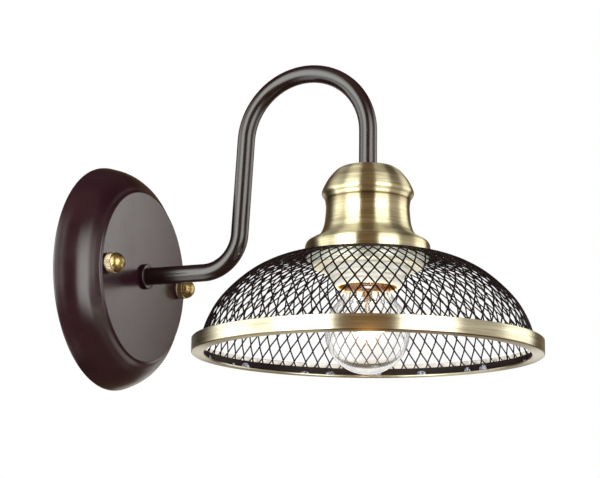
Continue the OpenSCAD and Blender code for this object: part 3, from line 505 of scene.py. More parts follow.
def holder_plastic(name):
    """White plastic, with a brass lining where the mouth takes the bulb. The lining carries painted shade,
    dark brown deep in, and painted amber light from the filament at its outer edge.
    """
    n = Nodes(name)
    at = n.place()
    r = n.from_lamp_axis(at)[3]
    lining = n.between(r, (SKIRT_R - 0.3) * MM, (SKIRT_R - 0.5) * MM)
    deep = n.between(r, (SKIRT_R - 1.2) * MM, (SKIRT_R - 2.0) * MM)
    cloud = n.noise(at, 260.0, 3.0, 0.6)
    skin = n.noise(at, 2600.0, 2.0, 0.5)
    white = n.mix(n.between(cloud, 0.3, 0.7), (0.80, 0.78, 0.72, 1), (0.86, 0.84, 0.78, 1))
    # Painted shade deep in the mouth, and painted amber light from the filament near the mouth's edge
    mouth_shade_and_glow = n.mix(n.between(cloud, 0.35, 0.65), (0.06, 0.02, 0.005, 1), (0.2, 0.085, 0.02, 1))
    mouth_shade_and_glow = n.mix(deep, (0.75, 0.48, 0.14, 1), mouth_shade_and_glow)
    principled(n, colour=n.mix(lining, white, mouth_shade_and_glow), metal=n.math("MULTIPLY", lining, 0.8),
               rough=n.between(cloud, 0.3, 0.7, 0.3, 0.4), normal=n.bump(skin, 0.06, 0.00003))
    return n.material


def insulation(name, colour, stripe=None):
    """Extruded wire insulation, with an optional second colour in a stripe along it."""
    n = Nodes(name)
    at = n.place()
    cloud = n.noise(at, 220.0, 2.0, 0.5)
    tone = n.mix(n.between(cloud, 0.3, 0.7), tuple(c * 0.85 for c in colour) + (1,), (*colour, 1))
    if stripe:
        split = n.add("ShaderNodeSeparateXYZ", {0: n.add("ShaderNodeNewGeometry").outputs["Normal"]})
        tone = n.mix(n.between(split.outputs[1], 0.1, 0.25), (*stripe, 1), tone)
    principled(n, colour=tone, rough=n.between(cloud, 0.3, 0.7, 0.32, 0.42),
               normal=n.bump(cloud, 0.1, 0.0001))
    return n.material


def blown_glass(name):
    """Clear glass with the faint waves of a blown bulb."""
    n = Nodes(name)
    at = n.place()
    wave = n.noise(at, 55.0, 1.0, 0.4)
    tone = n.mix(n.between(wave, 0.3, 0.7), (0.985, 0.995, 0.99, 1), (1, 1, 1, 1))
    principled(
        n, colour=tone, rough=0.0, ior=1.5, transmission=1.0, normal=n.bump(wave, 0.05, 0.0004),
    )
    return n.material


def hot_wire(name):
    """Glowing tungsten, a little hotter in some places than in others."""
    n = Nodes(name)
    at = n.place()
    coil = n.noise(at, 1400.0, 1.0, 0.5)
    heat = n.mix(n.between(coil, 0.3, 0.7), (1.0, 0.55, 0.18, 1), (1.0, 0.78, 0.42, 1))
    principled(n, colour=(0.3, 0.25, 0.2, 1), metal=1.0, rough=0.4, emission=heat, glow=38.0)
    return n.material


PAINT = bronze_paint("dark_bronze_paint", (0.013, 0.0016, 0.0055), 0.24, gloss=0.55,
                     tint=(0.95, 1.0, 0.98))
TUBE_PAINT = bronze_paint("tube_paint", (0.009, 0.0025, 0.0035), 0.22, gloss=0.6, tint=(0.93, 1.0, 0.97))
MESH_PAINT = bronze_paint("mesh_paint", (0.0045, 0.0015, 0.002), 0.42, speckle=0.2, gloss=0.12)
BRASS = turned_brass("antique_brass")
BAND_BRASS = turned_brass("band_brass", colour=(0.60, 0.61, 0.48))
NUT_BRASS = nut_brass("nut_brass")
BRASS_PAINTED_BRIGHT = brass_painted_bright("brass_painted_bright")
CONTACT_BRASS = bare_metal("contact_brass", (0.83, 0.62, 0.28), 0.26)
LAMP_CAP_BRASS = bare_metal("lamp_cap_brass", (0.80, 0.62, 0.30), 0.22)
ZINC = bare_metal("zinc_steel", (0.62, 0.63, 0.65), 0.34, spread=0.1)
TIN = bare_metal("tinned_metal", (0.66, 0.66, 0.65), 0.42)
HOLDER = holder_plastic("holder_plastic")
WHITE = moulded("white_plastic", (0.86, 0.84, 0.78), 0.34, subsurface=0.05)
NYLON = moulded("block_plastic", (0.78, 0.77, 0.72), 0.45)
BLACK = moulded("black_plastic", (0.02, 0.02, 0.02), 0.4)
CERAMIC = moulded("holder_ceramic", (0.80, 0.78, 0.72), 0.55, mark=0.2)
BLACK_GLASS = moulded("black_glass", (0.012, 0.010, 0.016), 0.12)
GLASS = blown_glass("clear_glass")
LEAD_COPPER = bare_metal("lead_copper", (0.85, 0.45, 0.2), 0.3)
FILAMENT = hot_wire("lit_filament")
SUPPORT = bare_metal("support_wire", (0.4, 0.39, 0.38), 0.35)
BROWN = insulation("brown_insulation", (0.13, 0.04, 0.015))
BLUE = insulation("blue_insulation", (0.02, 0.10, 0.36))
GREEN = insulation("green_insulation", (0.10, 0.38, 0.03), stripe=(0.8, 0.68, 0.03))


def paint(piece, material):
    piece.data.materials.clear()
    piece.data.materials.append(material)


CAD_FINISHES = {
    ZINC: ("wall_bracket", "left_stud", "right_stud", "stud_lock_nuts", "left_washer", "right_washer",
           "terminal_screws", "terminal_fixing_screw", "arm_nipple", "arm_lock_washer", "arm_lock_nut",
           "head_nipple", "cap_lock_washer", "cap_lock_nut", "grub_screw", "holder_terminal_screws"),
    NYLON: ("terminal_block",),
    CONTACT_BRASS: ("terminal_tubes", "earth_screw", "holder_terminals", "contact_rivets",
                    "centre_contact", "holder_screw_shell"),
    TIN: ("earth_lug", "bulb_tip_contact"),
    BROWN: ("live_wire",),
    BLUE: ("neutral_wire",),
    GREEN: ("earth_wire",),
    BLACK: ("nipple_bush",),
    CERAMIC: ("holder_insert",),
    WHITE: ("holder_dome", "shade_ring"),
    HOLDER: ("holder_skirt",),
    PAINT: ("backplate", "arm_collar"),
    TUBE_PAINT: ("arm_tube",),
    BRASS: ("socket_cap",),
    BAND_BRASS: ("rim_band",),
    BRASS_PAINTED_BRIGHT: ("gallery_cup",),
    NUT_BRASS: ("left_finial", "right_finial"),
    MESH_PAINT: ("shade_mesh",),
    LAMP_CAP_BRASS: ("bulb_screw_shell",),
    BLACK_GLASS: ("bulb_insulator",),
    GLASS: ("bulb_glass", "bulb_stem"),
    LEAD_COPPER: ("bulb_lead_wires",),
    FILAMENT: ("bulb_filament",),
    SUPPORT: ("filament_supports",),
}
for finish, names in CAD_FINISHES.items():
    for name in names:
        paint(cad[name], finish)


# Wall plate, collar and arm

plate_path = (
    [(NIPPLE_HOLE_R, PLATE_DEPTH), (FACE_R - 1.2, PLATE_DEPTH)]
    + arc((FACE_R - 1.2, PLATE_DEPTH - 1.2), 1.2, 82, 8, 6)
    + curve([
        (FACE_R + 0.3, FLANK_DEPTH + 1.1),
        (FACE_R + 0.8, FLANK_DEPTH + 0.75),
        (FLANK_ROOT_R, FLANK_DEPTH - 0.35),
    ], 6)
    + curve([
        (FLANK_ROOT_R + (PLATE_R - FLANK_ROOT_R) * 0.1, FLANK_DEPTH * 0.943),
        (FLANK_ROOT_R + (PLATE_R - FLANK_ROOT_R) * 0.38, FLANK_DEPTH * 0.81),
        (FLANK_ROOT_R + (PLATE_R - FLANK_ROOT_R) * 0.65, FLANK_DEPTH * 0.6),
        (FLANK_ROOT_R + (PLATE_R - FLANK_ROOT_R) * 0.83, FLANK_DEPTH * 0.38),
        (FLANK_ROOT_R + (PLATE_R - FLANK_ROOT_R) * 0.94, FLANK_DEPTH * 0.17),
        (PLATE_R - 0.08, 1.2),
    ], 10)
    + [(PLATE_R, 0.3), (PLATE_R - 0.3, 0.0), (PLATE_R - 0.8, 0.0)]
)
plate_inner = [p for p in reversed(beside(plate_path[:-3], -PLATE_SHEET)) if p[1] > 0.5]
plate = lathe("wall_plate", plate_path + [(PLATE_R - 1.0, 0.3)] + plate_inner, wall_point,
              "fixture", "dark_bronze_paint", ("backplate",), 256)
paint(plate, PAINT)

collar = lathe("tube_collar", (
    [(5.05, PLATE_DEPTH + 0.02), (8.5, PLATE_DEPTH + 0.02), (8.85, PLATE_DEPTH + 0.3)]
    + arc((8.05, COLLAR_FRONT - 0.8), 0.8, 0, 90, 6)
    + [(7.5, COLLAR_FRONT), (7.1, COLLAR_FRONT - 0.5), (6.5, COLLAR_FRONT - 0.5), (6.3, COLLAR_FRONT - 0.02),
       (5.05, COLLAR_FRONT - 0.02)]
), wall_point, "fixture", "dark_bronze_paint", ("arm_collar",), 96)
paint(collar, PAINT)


def arm_path():
    """The tube's centreline, from its seat in the collar to the top of the cap."""
    low_start = PLATE_DEPTH + ARM_STRAIGHT
    points = [(COLLAR_FRONT, 0.0), (COLLAR_FRONT + 12, 0.0), (low_start - 3, 0.0)]
    points += [
        (low_start + LOW_BEND_R * math.sin(a), LOW_BEND_R * (1 - math.cos(a)))
        for a in (RISER_TURN * i / 24 for i in range(25))
    ]
    u, z = points[-1]
    du, dz = math.cos(RISER_TURN), math.sin(RISER_TURN)
    points += [(u + du * RISER_LENGTH * k / 4, z + dz * RISER_LENGTH * k / 4) for k in range(1, 5)]
    u, z = points[-1]
    arch_r = (REACH - u) / (1 + dz)
    points += [
        (u + arch_r * (dz - math.sin(RISER_TURN - a)), z + arch_r * (math.cos(RISER_TURN - a) - du))
        for a in ((math.pi / 2 + RISER_TURN) * i / 48 for i in range(1, 49))
    ]
    end_z = points[-1][1]
    cap_z = CAP_TOP - RIM_DROP
    points += [(REACH, end_z + (cap_z - end_z) * k / 3) for k in range(1, 4)]
    return [(0.0, -u, z) for u, z in points]


TUBE_SIDES = 48
tube_line = arm_path()
outer = swept(tube_line, TUBE_R, TUBE_SIDES, closed_ends=False)
inner = swept(tube_line, TUBE_R - TUBE_WALL, TUBE_SIDES, closed_ends=False)
tube_points, tube_faces = joined([outer, (inner[0], [list(reversed(f)) for f in inner[1]])])
half = len(outer[0])
for start in (0, half - TUBE_SIDES):
    tube_faces += ring_faces(start, half + start, TUBE_SIDES)
tube = outward(finished(
    "arm_tube_skin", tube_points, tube_faces, "fixture", "dark_bronze_paint", ("arm_tube",),
))
paint(tube, TUBE_PAINT)


# Finial nuts: a skirt with a diamond knurl under a smooth dome

def finial(name, x, body, node):
    knurl_low, knurl_high = 0.4, FINIAL_SKIRT - 0.5
    skirt = [(FINIAL_R, knurl_low + (knurl_high - knurl_low) * k / 24) for k in range(25)]
    dome_r = FINIAL_R - 0.3
    dome = [(FINIAL_R - 0.45, FINIAL_SKIRT - 0.3), (dome_r, FINIAL_SKIRT - 0.1)] + [
        (dome_r * math.cos(a), FINIAL_SKIRT + FINIAL_DOME * math.sin(a))
        for a in (math.pi / 2 * k / 14 for k in range(14))
    ] + [(0.0, FINIAL_SKIRT + FINIAL_DOME)]
    bore_r, bore_depth = 2.05, FINIAL_SKIRT + 2.9
    segments = 240
    teeth = 30
    knurl_pitch = 1.3
    knurl_depth = 0.38

    def ridge(value):
        return abs((value % 1.0) * 2 - 1)

    def spot(r, u, a):
        if abs(r - FINIAL_R) < 1e-6:
            turn_share = a / (2 * math.pi) * teeth
            rise = (u - knurl_low) / knurl_pitch
            depth = max(ridge(turn_share + rise / 2), ridge(turn_share - rise / 2)) ** 1.5
            fade = min(1.0, (u - knurl_low) / 0.3, (knurl_high - u) / 0.3)
            r = r - knurl_depth * depth * max(0.0, fade)
        return wall_point(r, FINIAL_BASE + u, a, x)

    bore = [(0.0, bore_depth), (bore_r, bore_depth - 0.2)]
    rows = [(bore_r, 0.0), (FINIAL_R - 0.4, 0.0)] + skirt + dome + bore
    points, faces = turned(rows, spot, segments)
    piece = outward(finished(name, points, faces, body, "antique_brass", (node,), sharp=28.0))
    paint(piece, NUT_BRASS)


finial("left_nut_knurled", -STUD_X, "left_nut", "left_finial")
finial("right_nut_knurled", STUD_X, "right_nut", "right_finial")


# Cap, gallery cup and rim band

crown = curve([
    (17.6, CAP_TOP - 0.2), (19.4, CAP_TOP - 0.9),
    (BEAD_R - 8.3, CAP_TOP - 3.1), (BEAD_R - 4.4, CAP_TOP - 7.8),
    (BEAD_R - 2.1, CAP_TOP - 11.8), (BEAD_R - 0.8, CAP_TOP - 14.6), (BEAD_R - 0.05, CAP_TOP - 17.0),
    (BEAD_R - 0.4, CAP_TOP - 18.6), (BEAD_R - 1.6, CAP_TOP - 20.2), (BEAD_R - 2.3, CAP_TOP - 21.9),
], 8)
# A thin crease parts the underside of the bead from the waist
crease = [(WAIST_R + 0.15, CAP_TOP - 22.6), (WAIST_R + 0.35, CAP_TOP - 23.1)]
body_path = curve([
    (WAIST_R + 0.3, CAP_TOP - 23.6), (WAIST_R + 0.05, CAP_TOP - 25.4), (WAIST_R, CAP_TOP - 28.4),
    (WAIST_R + 0.3, CAP_TOP - 32.8), (WAIST_R + 0.75, CAP_TOP - 36.8), (WAIST_R + 1.4, FLANGE_TOP + 13),
    (WAIST_R + 2.8, FLANGE_TOP + 9.2), (WAIST_R + 5.2, FLANGE_TOP + 6.3), (FLANGE_R - 4.6, FLANGE_TOP + 4.3),
], 8)
step_path = curve([
    (FLANGE_R - 4.3, FLANGE_TOP + 3.9), (FLANGE_R - 1.7, FLANGE_TOP + 2.6),
    (FLANGE_R - 0.4, FLANGE_TOP + 0.9), (FLANGE_R, FLANGE_TOP - 0.8),
], 8)
cap_path = (
    [(NIPPLE_HOLE_R, CAP_TOP), (15.0, CAP_TOP - 0.02)] + crown + crease + body_path + step_path
    + [(FLANGE_R, FLANGE_BOTTOM + 0.3), (FLANGE_R - 0.3, FLANGE_BOTTOM)]
)
cap_inner = [p for p in reversed(beside(cap_path[1:-2], -CAP_SHEET)) if p[0] > NIPPLE_HOLE_R]
cap_outline = (
    cap_path + [(FLANGE_R - CAP_SHEET, FLANGE_BOTTOM)] + cap_inner + [(NIPPLE_HOLE_R, CAP_TOP - CAP_SHEET)]
)
cap = lathe(
    "brass_cap", cap_outline, lamp_point, "fixture", "antique_brass", ("socket_cap",), 256, sharp=24.0,
)
paint(cap, BRASS)

cup_top = SHADE_TOP - 1.05
cup = lathe("brass_cup", (
    [(SKIRT_R + 0.3, CUP_FLOOR)] + arc((CUP_R - 2, CUP_FLOOR + 2), 2, -90, 0, 8)
    + [(CUP_R, cup_top - 1.6), (CUP_R + 0.25, cup_top - 1.1), (CUP_R + 0.8, cup_top - 0.8),
       (FLANGE_R - 1, cup_top - 0.8), (FLANGE_R - 1, cup_top), (CUP_R + 0.2, cup_top),
       (CUP_R - 0.8, cup_top - 1)]
    + arc((CUP_R - 2, CUP_FLOOR + 2), 1.2, 0, -90, 8) + [(SKIRT_R + 0.3, CUP_FLOOR + 0.8)]
), lamp_point, "fixture", "antique_brass", ("gallery_cup",))
paint(cup, BRASS_PAINTED_BRIGHT)

band = lathe("brass_rim", (
    [(RIM_R - 8, 0.15), (RIM_R - 7.85, 0.0)] + arc((RIM_R - 1.0, 1.0), 1.0, -90, 0, 8)
    + [(RIM_R, RIM_HEIGHT - 0.25), (RIM_R - 0.25, RIM_HEIGHT), (RIM_R - 0.8, RIM_HEIGHT),
       (RIM_R - 1, RIM_HEIGHT - 0.2)]
    + arc((RIM_R - 1.4, 1.4), 0.4, 0, -90, 4) + [(RIM_R - 7.85, 1.0), (RIM_R - 8, 0.85)]
), lamp_point, "fixture", "antique_brass", ("rim_band",), 384, sharp=40.0)
paint(band, BAND_BRASS)


# Shade: two families of slanting strands that cross in rows, with a plain border at each end

STRANDS = 76
STRAND_W = 1.05
STRAND_T = 0.8
SHADE_BOTTOM = 1.05
BORDER = 5.2
TOP_BORDER = 3.4
# The rows of crossings are counted from the rim upwards. Round the lamp they sway between a side where they
# sit lower and closer together and the opposite side, because the sheet was not drawn evenly.
LOW_ROW = 96.7
LOW_ROW_SWAY = 0.4
ROW = 7.8
ROW_SWAY = -0.3
ROWS = 13
KNOT_ANGLE = math.radians(-157.06)
KNOT_ROW = 5
shade_path = curve([
    (37.6, SHADE_TOP), (41.6, SHADE_TOP), (50, 63.8), (60, 61.2), (70, 56.8), (80, 50.4), (90, 41.4),
    (98, 31.8), (104, 20.2), (107.6, 9), (109.1, SHADE_BOTTOM + BORDER), (109.5, SHADE_BOTTOM),
], 12)
lengths = [0.0]
for i in range(1, len(shade_path)):
    lengths.append(lengths[-1] + math.dist(shade_path[i], shade_path[i - 1]))
shade_length = lengths[-1]


def shade_at(s):
    """Radius, height and outward direction at a distance along the shade's outline."""
    i = max(k for k in range(len(lengths) - 1) if lengths[k] <= s + 1e-9)
    t = (s - lengths[i]) / (lengths[i + 1] - lengths[i])
    a, b = shade_path[i], shade_path[i + 1]
    dx, dy = b[0] - a[0], b[1] - a[1]
    n = math.hypot(dx, dy)
    return a[0] + dx * t, a[1] + dy * t, -dy / n, dx / n


def row_at(row, a):
    """Distance along the outline of a row of crossings, at an angle round the lamp."""
    sway = math.cos(a - KNOT_ANGLE)
    s = LOW_ROW + LOW_ROW_SWAY * sway - (ROW + ROW_SWAY * sway) * row
    return min(max(s, 1.0), shade_length - 0.6)


def strand(first, direction):
    """One strand from the bottom border to the top one, as points and outward directions. Under the lowest
    crossing it runs on into the border."""
    points, outs = [], []
    half_step = math.pi / STRANDS
    fine = 4
    for j in range(-2, ROWS * fine + 1):
        row = j / fine
        # A strand runs a little more level between the knots than through them
        slant = row - 0.035 * math.sin(2 * math.pi * row)
        a = KNOT_ANGLE + half_step * (2 * first + direction * (slant - KNOT_ROW))
        r, h, out_r, out_h = shade_at(row_at(row, a))
        r, h = r - out_r * STRAND_T / 2, h - out_h * STRAND_T / 2
        points.append(lamp_point(r, h, a))
        outs.append((out_r * math.cos(a), out_r * math.sin(a), out_h))
    return points, outs


parts = []
for first in range(STRANDS):
    for direction in (1, -1):
        line, outs = strand(first, direction)
        parts.append(swept(line, STRAND_W / 2, 6, flat=(outs, STRAND_T / STRAND_W)))


def border_strip(start, end, steps):
    """A plain strip of the shade between two distances along its outline."""
    spans = [shade_at(start + (end - start) * k / steps) for k in range(steps + 1)]
    outer_side = [(r, h) for r, h, _, _ in spans]
    inner_side = [(r - out_r * 0.9, h - out_h * 0.9) for r, h, out_r, out_h in spans]
    return turned(outer_side + list(reversed(inner_side)), lamp_point, 320)


parts.append(border_strip(0.0, TOP_BORDER, 4))
parts.append(border_strip(shade_length - BORDER, shade_length - 0.01, 4))
mesh_points, mesh_faces = joined(parts)
net = finished("shade_net", mesh_points, mesh_faces, "fixture", "mesh_paint", ("shade_mesh",), sharp=50.0)
paint(net, MESH_PAINT)


def tacks():
    """Beads of clear glue that hold the net's border to the rim's lip."""
    n = Nodes("tack_glue")
    at = n.place()
    lump = n.noise(at, 700.0, 3.0, 0.6)
    tone = n.mix(n.between(lump, 0.42, 0.58), (0.03, 0.03, 0.05, 1), (0.45, 0.5, 0.66, 1))
    principled(n, colour=tone, rough=n.between(lump, 0.3, 0.7, 0.12, 0.3), ior=1.5, coat=0.6,
               normal=n.bump(lump, 0.5, 0.0003))
    chance = random.Random(11)
    found = []
    count = 22
    lip_r, lip_h = 108.4, 1.1
    for i in range(count):
        a = 2 * math.pi * (i + chance.uniform(-0.35, 0.35)) / count
        long, deep, tall = chance.uniform(1.8, 4.2), chance.uniform(0.9, 1.5), chance.uniform(1.8, 4.4)
        base = Vector(lamp_point(lip_r, lip_h, a))
        round_way = Vector((-math.sin(a), math.cos(a), 0.0))
        inward = Vector((-math.cos(a), -math.sin(a), 0.0))
        points, faces = [], []
        across, around = 8, 14
        for u in range(across + 1):
            for v in range(around):
                p, q = math.pi / 2 * u / across, 2 * math.pi * v / around
                wobble = 1.0 + 0.22 * math.sin(3 * q + i) * math.sin(p * 2) + 0.1 * math.sin(5 * q + 2 * i)
                points.append(base + round_way * long * wobble * math.sin(p) * math.cos(q)
                              + inward * deep * wobble * math.sin(p) * math.sin(q)
                              + Vector((0, 0, tall * math.cos(p))))
        for u in range(across):
            for v in range(around):
                w = (v + 1) % around
                faces.append([u * around + v, (u + 1) * around + v, (u + 1) * around + w, u * around + w])
        faces.append([across * around + v for v in range(around)])
        found.append((points, faces))
    points, faces = joined(found)
    piece = finished("net_tacks", points, faces, "fixture", "mesh_paint", sharp=60.0)
    paint(piece, n.material)


tacks()


# Lampholder

ring_top, ring_low = CUP_FLOOR - 0.05, MOUTH_H + 0.1
ring_in, ring_out = SKIRT_R + 1.3, SKIRT_R + 5.8
groove_depth = 1.5


def ring_side(share):
    return (ring_in + (ring_out - ring_in) * share, ring_low + (ring_top - 1.2 - ring_low) * share)


ring_outline = [(SKIRT_R + 0.05, ring_low + 0.2), (ring_in - 0.4, ring_low), (ring_in - 0.1, ring_low + 0.15)]
for share in (0.26, 0.5, 0.76):
    low, mid, high = ring_side(share - 0.06), ring_side(share), ring_side(share + 0.06)
    ring_outline += [
        ring_side(share - 0.09), low, (mid[0] - groove_depth, mid[1] - 0.3),
        (mid[0] - groove_depth, mid[1] + 0.25), high, ring_side(share + 0.085),
    ]
ring_outline += [ring_side(0.97), (ring_out - 0.1, ring_top - 0.9), (ring_out, ring_top - 0.5),
                 (ring_out - 0.3, ring_top), (SKIRT_R + 0.05, ring_top)]
ring_piece = lathe(
    "holder_ring", ring_outline, lamp_point, "fixture", "white_plastic", ("shade_ring",), 160, sharp=30.0,
)
paint(ring_piece, WHITE)

bore = 13.375 + 0.65
insert_r, insert_seat, skirt_top = 17.35, 80.0, 88.0
flange_r, flange_low, flange_high = SKIRT_R + 3.4, 58.8, 61.8
skirt_outline = (
    [(SKIRT_R - 1.6, MOUTH_H + 0.15), (SKIRT_R - 1.2, MOUTH_H)]
    + arc((SKIRT_R - 0.6, MOUTH_H + 0.6), 0.6, -90, 0, 5)
)
for turn_number in range(4):
    base = MOUTH_H + 1.6 + turn_number * 2.6
    skirt_outline += [
        (SKIRT_R, base), (SKIRT_R - 0.35, base + 0.7), (SKIRT_R - 0.35, base + 1.1), (SKIRT_R, base + 1.8),
    ]
skirt_outline += [
    (SKIRT_R, flange_low), (flange_r, flange_low), (flange_r, flange_high), (SKIRT_R, flange_high),
    (SKIRT_R, skirt_top), (insert_r, skirt_top), (insert_r, insert_seat), (bore, insert_seat),
    (bore, MOUTH_H + 8.5),
] + curve([(bore + 0.2, MOUTH_H + 8.3), (bore + 2.0, MOUTH_H + 5.2), (SKIRT_R - 2.2, MOUTH_H + 2.2)], 5)
skirt = lathe(
    "holder_skirt_turned", skirt_outline, lamp_point, "fixture", "white_plastic", ("holder_skirt",), 160,
    sharp=30.0,
)
paint(skirt, HOLDER)


# Bulb

glass_path = arc((0, GLOBE_CENTRE), GLOBE_R, -90, 38, 56) + curve([
    (GLOBE_R * math.cos(math.radians(44)), GLOBE_CENTRE + GLOBE_R * math.sin(math.radians(44))),
    (16.3, GLOBE_CENTRE + 24), (14.4, GLOBE_CENTRE + 29), (13.2, GLOBE_CENTRE + 33), (11.17, 52.6),
], 10) + [(11.17, 61.2)]
glass_path[0] = (0.0, BULB_BOTTOM)
glass_inner = [p for p in reversed(beside(glass_path, 0.8)) if p[0] > 0.05]
globe = lathe("bulb_globe", glass_path + glass_inner + [(0.0, BULB_BOTTOM + 0.8)], lamp_point,
              "bulb", "clear_glass", ("bulb_glass",), 192, sharp=50.0)
paint(globe, GLASS)


def screw_cap():
    """The bulb's screw shell, with a true helical thread."""
    pitch, crest, depth = 3.629, 13.025, 1.0
    sheet = 0.35
    top_h, low_h = 76.0, 53.226
    segments, rows = 120, 120
    points, faces = [], []
    for i in range(rows + 1):
        h = low_h + (top_h - low_h) * i / rows
        ease = min(1.0, (h - low_h) / 1.6, (top_h - h) / 2.2)
        for k in range(segments):
            a = 2 * math.pi * k / segments
            wave = 0.5 - 0.5 * math.cos(2 * math.pi * (h / pitch - a / (2 * math.pi)))
            r = crest - depth + depth * wave * max(0.0, ease)
            if h > top_h - 1.2:
                r -= 0.9 * ((h - top_h + 1.2) / 1.2) ** 2
            points.append(lamp_point(r, h, a))
    for i in range(rows):
        faces += ring_faces(i * segments, (i + 1) * segments, segments)
    # Inside of the shell and the shoulder round the insulator
    base = len(points)
    inside = [
        (crest - depth - sheet, low_h), (crest - depth - sheet, top_h - 1.4),
        (5.6, top_h - 0.9), (5.6, top_h - 0.05),
    ]
    for r, h in inside:
        points += [lamp_point(r, h, 2 * math.pi * k / segments) for k in range(segments)]
    rings = [0] + [base + n * segments for n in range(len(inside))] + [rows * segments]
    for a_ring, b_ring in zip(rings[:-1], rings[1:]):
        for k in range(segments):
            m = (k + 1) % segments
            faces.append([a_ring + m, a_ring + k, b_ring + k, b_ring + m])
    piece = outward(finished(
        "bulb_screw_cap", points, faces, "bulb", "lamp_cap_brass", ("bulb_screw_shell",), sharp=40.0,
    ))
    paint(piece, LAMP_CAP_BRASS)


screw_cap()

filament_h = GLOBE_CENTRE + 1.5
stem_low = filament_h + 8
press_top = stem_low + 15
stem = lathe("bulb_stem_glass", [
    (0.0, stem_low + 2.2), (0.8, stem_low + 2.4), (0.9, stem_low + 3.4), (0.9, stem_low + 9),
    (1.5, stem_low + 10), (2.6, stem_low + 11), (3.0, press_top), (3.3, press_top + 2),
    (4.4, press_top + 5), (7.0, 56.2), (9.9, 60.7),
    (9.1, 60.7), (6.2, 56.8), (3.4, press_top + 5), (1.2, press_top + 4.2), (0.0, press_top + 4),
], lamp_point, "bulb", "clear_glass", (), 64, sharp=50.0)
paint(stem, GLASS)
bead_points, bead_faces = turned(arc((0, stem_low + 0.9), 1.8, -90, 90, 12), lamp_point, 32)
bead = outward(finished(
    "bulb_stem_bead", bead_points, bead_faces, "bulb", "clear_glass", ("bulb_stem",), sharp=60.0,
))
paint(bead, GLASS)


def filament():
    """A long coil held in a bow by its supports."""
    points = []
    turns, bow_r, coil_r = 46, 11.0, 0.42
    steps = turns * 12
    for i in range(steps + 1):
        t = i / steps
        a = -math.pi * t
        sag = 0.45 * abs(math.sin(4 * math.pi * t))
        mid = Vector((math.cos(a), math.sin(a), 0.0))
        spin = 2 * math.pi * turns * t
        centre = Vector((0.0, -REACH, filament_h - RIM_DROP - sag)) + mid * bow_r
        points.append(centre + mid * coil_r * math.cos(spin) + Vector((0, 0, coil_r * math.sin(spin))))
    made = swept(points, 0.13, 6)
    piece = finished("bulb_filament_coil", *made, "bulb", "lit_filament", ("bulb_filament",), sharp=60.0)
    paint(piece, FILAMENT)
    return piece


coil = filament()


# Floor, light and background

def stage_floor():
    n = Nodes("floor")
    at = n.place()
    cloud = n.noise(at, 2.5, 2.0, 0.5)
    tone = n.mix(n.between(cloud, 0.3, 0.7), (0.83, 0.83, 0.83, 1), (0.87, 0.87, 0.87, 1))
    principled(n, colour=tone, rough=0.75)
    mesh = bpy.data.meshes.new("floor")
    size, low = 6.0, -0.46
    corners = [(-size, -size, low), (size, -size, low), (size, size, low), (-size, size, low)]
    mesh.from_pydata(corners, [], [(0, 1, 2, 3)])
    floor = bpy.data.objects.new("floor", mesh)
    scene.collection.objects.link(floor)
    floor.data.materials.append(n.material)
    floor.visible_glossy = False


stage_floor()


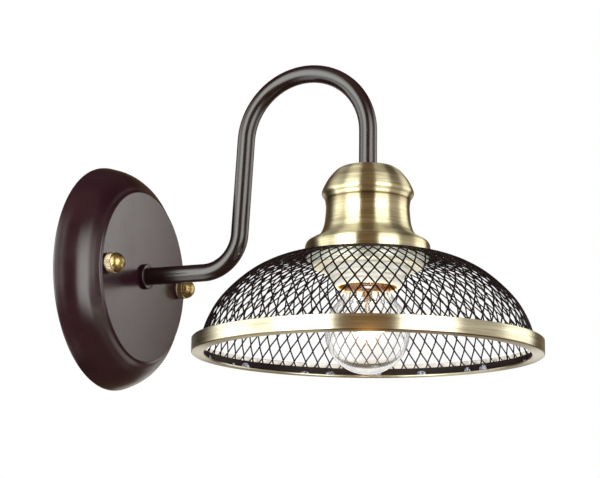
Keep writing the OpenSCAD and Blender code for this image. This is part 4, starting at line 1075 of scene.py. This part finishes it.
def studio_light():
    """Mirrored light comes from soft boxes on a dim brown fill. Diffuse light, the background and what shows
    through glass are plain white."""
    world = bpy.data.worlds.new("studio")
    scene.world = world
    world.use_nodes = True
    tree = world.node_tree
    tree.nodes.clear()
    out = tree.nodes.new("ShaderNodeOutputWorld")

    def add(kind, inputs=None, **settings):
        return add_node(tree, kind, inputs, **settings)

    def calc(operation, *values):
        return add("ShaderNodeMath", dict(enumerate(values)), operation=operation).outputs[0]

    def ramp(value, low, high):
        return add("ShaderNodeMapRange", {"Value": value, "From Min": low, "From Max": high},
                   interpolation_type="SMOOTHSTEP").outputs["Result"]

    way = add("ShaderNodeSeparateXYZ", {0: add("ShaderNodeTexCoord").outputs["Generated"]})
    x, y, z = way.outputs
    # Degrees round the lamp from the camera's side, right positive, and degrees above level
    toward = calc("ADD", calc("MULTIPLY", x, math.sin(CAMERA_AZIMUTH)),
                  calc("MULTIPLY", y, -math.cos(CAMERA_AZIMUTH)))
    right = calc("ADD", calc("MULTIPLY", x, math.cos(CAMERA_AZIMUTH)),
                 calc("MULTIPLY", y, math.sin(CAMERA_AZIMUTH)))
    angle = calc("DEGREES", calc("ARCTAN2", right, toward))
    rise = calc("DEGREES", calc("ARCSINE", z))

    def box(start, end, soft_start, soft_end, low, high, soft_rise, strength, soft_low=5):
        """A soft box between two angles round the lamp and two heights, with how far each side fades."""
        shape = calc("MULTIPLY", ramp(angle, start - soft_start, start + soft_start),
                     calc("SUBTRACT", 1.0, ramp(angle, end - soft_end, end + soft_end)))
        tall = calc("MULTIPLY", ramp(rise, low - soft_low, low + soft_low),
                    calc("SUBTRACT", 1.0, ramp(rise, high - soft_rise, high + soft_rise)))
        return calc("MULTIPLY", calc("MULTIPLY", shape, tall), strength)

    boxes = [
        box(-62, -25.5, 6, 1.5, -28, 44, 18, 4.0, 12),
        box(-116, -25.5, 10, 1.5, -28, 26, 16, 2.4, 12),
        box(-131, -109, 1.5, 8, -28, 26, 16, 0.4, 12),
        box(-108, -79, 10, 5, -28, 26, 16, 0.7, 12),
        box(-128, -50, 8, 10, -75, -28, 12, 2.2, 12),
        box(18, 55, 1.5, 6, -28, 30, 16, 5.4, 12),
        box(54, 98, 6, 6, -28, 24, 16, 0.75, 12),
        box(96, 127, 6, 5, -24, 28, 16, 2.0, 10),
        box(96, 134, 6, 5, 10, 28, 16, 1.1, 5),
        box(-180, -150, 10, 10, -17, -2, 6, 0.9),
        box(150, 181, 10, 0.5, -17, -2, 6, 0.9),
    ]
    total = boxes[0]
    for more in boxes[1:]:
        total = calc("ADD", total, more)
    ceiling = calc("MULTIPLY", ramp(rise, 40, 70), 0.07)
    panels = calc("ADD", total, ceiling)
    aside = calc("ABSOLUTE", angle)
    behind = calc("MULTIPLY", ramp(aside, 120, 134), 0.4)
    above = calc("MULTIPLY", calc("MULTIPLY", ramp(aside, 60, 85), ramp(rise, 26, 40)), 0.8)
    fill = calc("SUBTRACT", 1.0, calc("MAXIMUM", behind, above))
    seen = add("ShaderNodeLightPath")
    studio = add("ShaderNodeBackground", {"Color": (1.0, 0.99, 0.97, 1), "Strength": panels})
    dusk = add("ShaderNodeBackground", {"Color": (0.27, 0.17, 0.10, 1), "Strength": fill})
    shiny = add("ShaderNodeAddShader", {0: studio.outputs[0], 1: dusk.outputs[0]})
    soft = add("ShaderNodeBackground", {"Color": (1, 1, 1, 1), "Strength": 1.1})
    white = add("ShaderNodeBackground", {"Color": (1, 1, 1, 1), "Strength": 1.0})
    lit = add("ShaderNodeMixShader", {
        0: seen.outputs["Is Diffuse Ray"], 1: shiny.outputs[0], 2: soft.outputs[0],
    })
    plain = calc("MAXIMUM", seen.outputs["Is Camera Ray"], seen.outputs["Is Transmission Ray"])
    final = add("ShaderNodeMixShader", {0: plain, 1: lit.outputs[0], 2: white.outputs[0]})
    tree.links.new(final.outputs[0], out.inputs["Surface"])


studio_light()

glow_data = bpy.data.lights.new("filament_glow", "POINT")
glow_data.color = (1.0, 0.78, 0.5)
glow_data.energy = 0.09
glow_data.shadow_soft_size = 0.006
glow = bpy.data.objects.new("filament_glow", glow_data)
glow.location = Vector((0.0, -REACH, filament_h - RIM_DROP)) * MM
scene.collection.objects.link(glow)
glow.visible_camera = False
glow.visible_glossy = False
globe.visible_shadow = False
stem.visible_shadow = False
coil.visible_diffuse = False
coil.visible_glossy = False


def bloom():
    """The soft halo that a lens draws round the glowing filament."""
    scene.use_nodes = True
    tree = scene.node_tree
    tree.nodes.clear()
    picture = tree.nodes.new("CompositorNodeRLayers")
    glare = tree.nodes.new("CompositorNodeGlare")
    glare.glare_type = "BLOOM"
    glare.inputs["Threshold"].default_value = 4.0
    glare.inputs["Strength"].default_value = 1.0
    glare.inputs["Size"].default_value = 0.35
    glare.inputs["Tint"].default_value = (1.0, 0.6, 0.2, 1.0)
    result = tree.nodes.new("CompositorNodeComposite")
    tree.links.new(picture.outputs["Image"], glare.inputs["Image"])
    tree.links.new(glare.outputs["Image"], result.inputs["Image"])


bloom()

scene.view_settings.view_transform = "Standard"
scene.view_settings.look = "None"
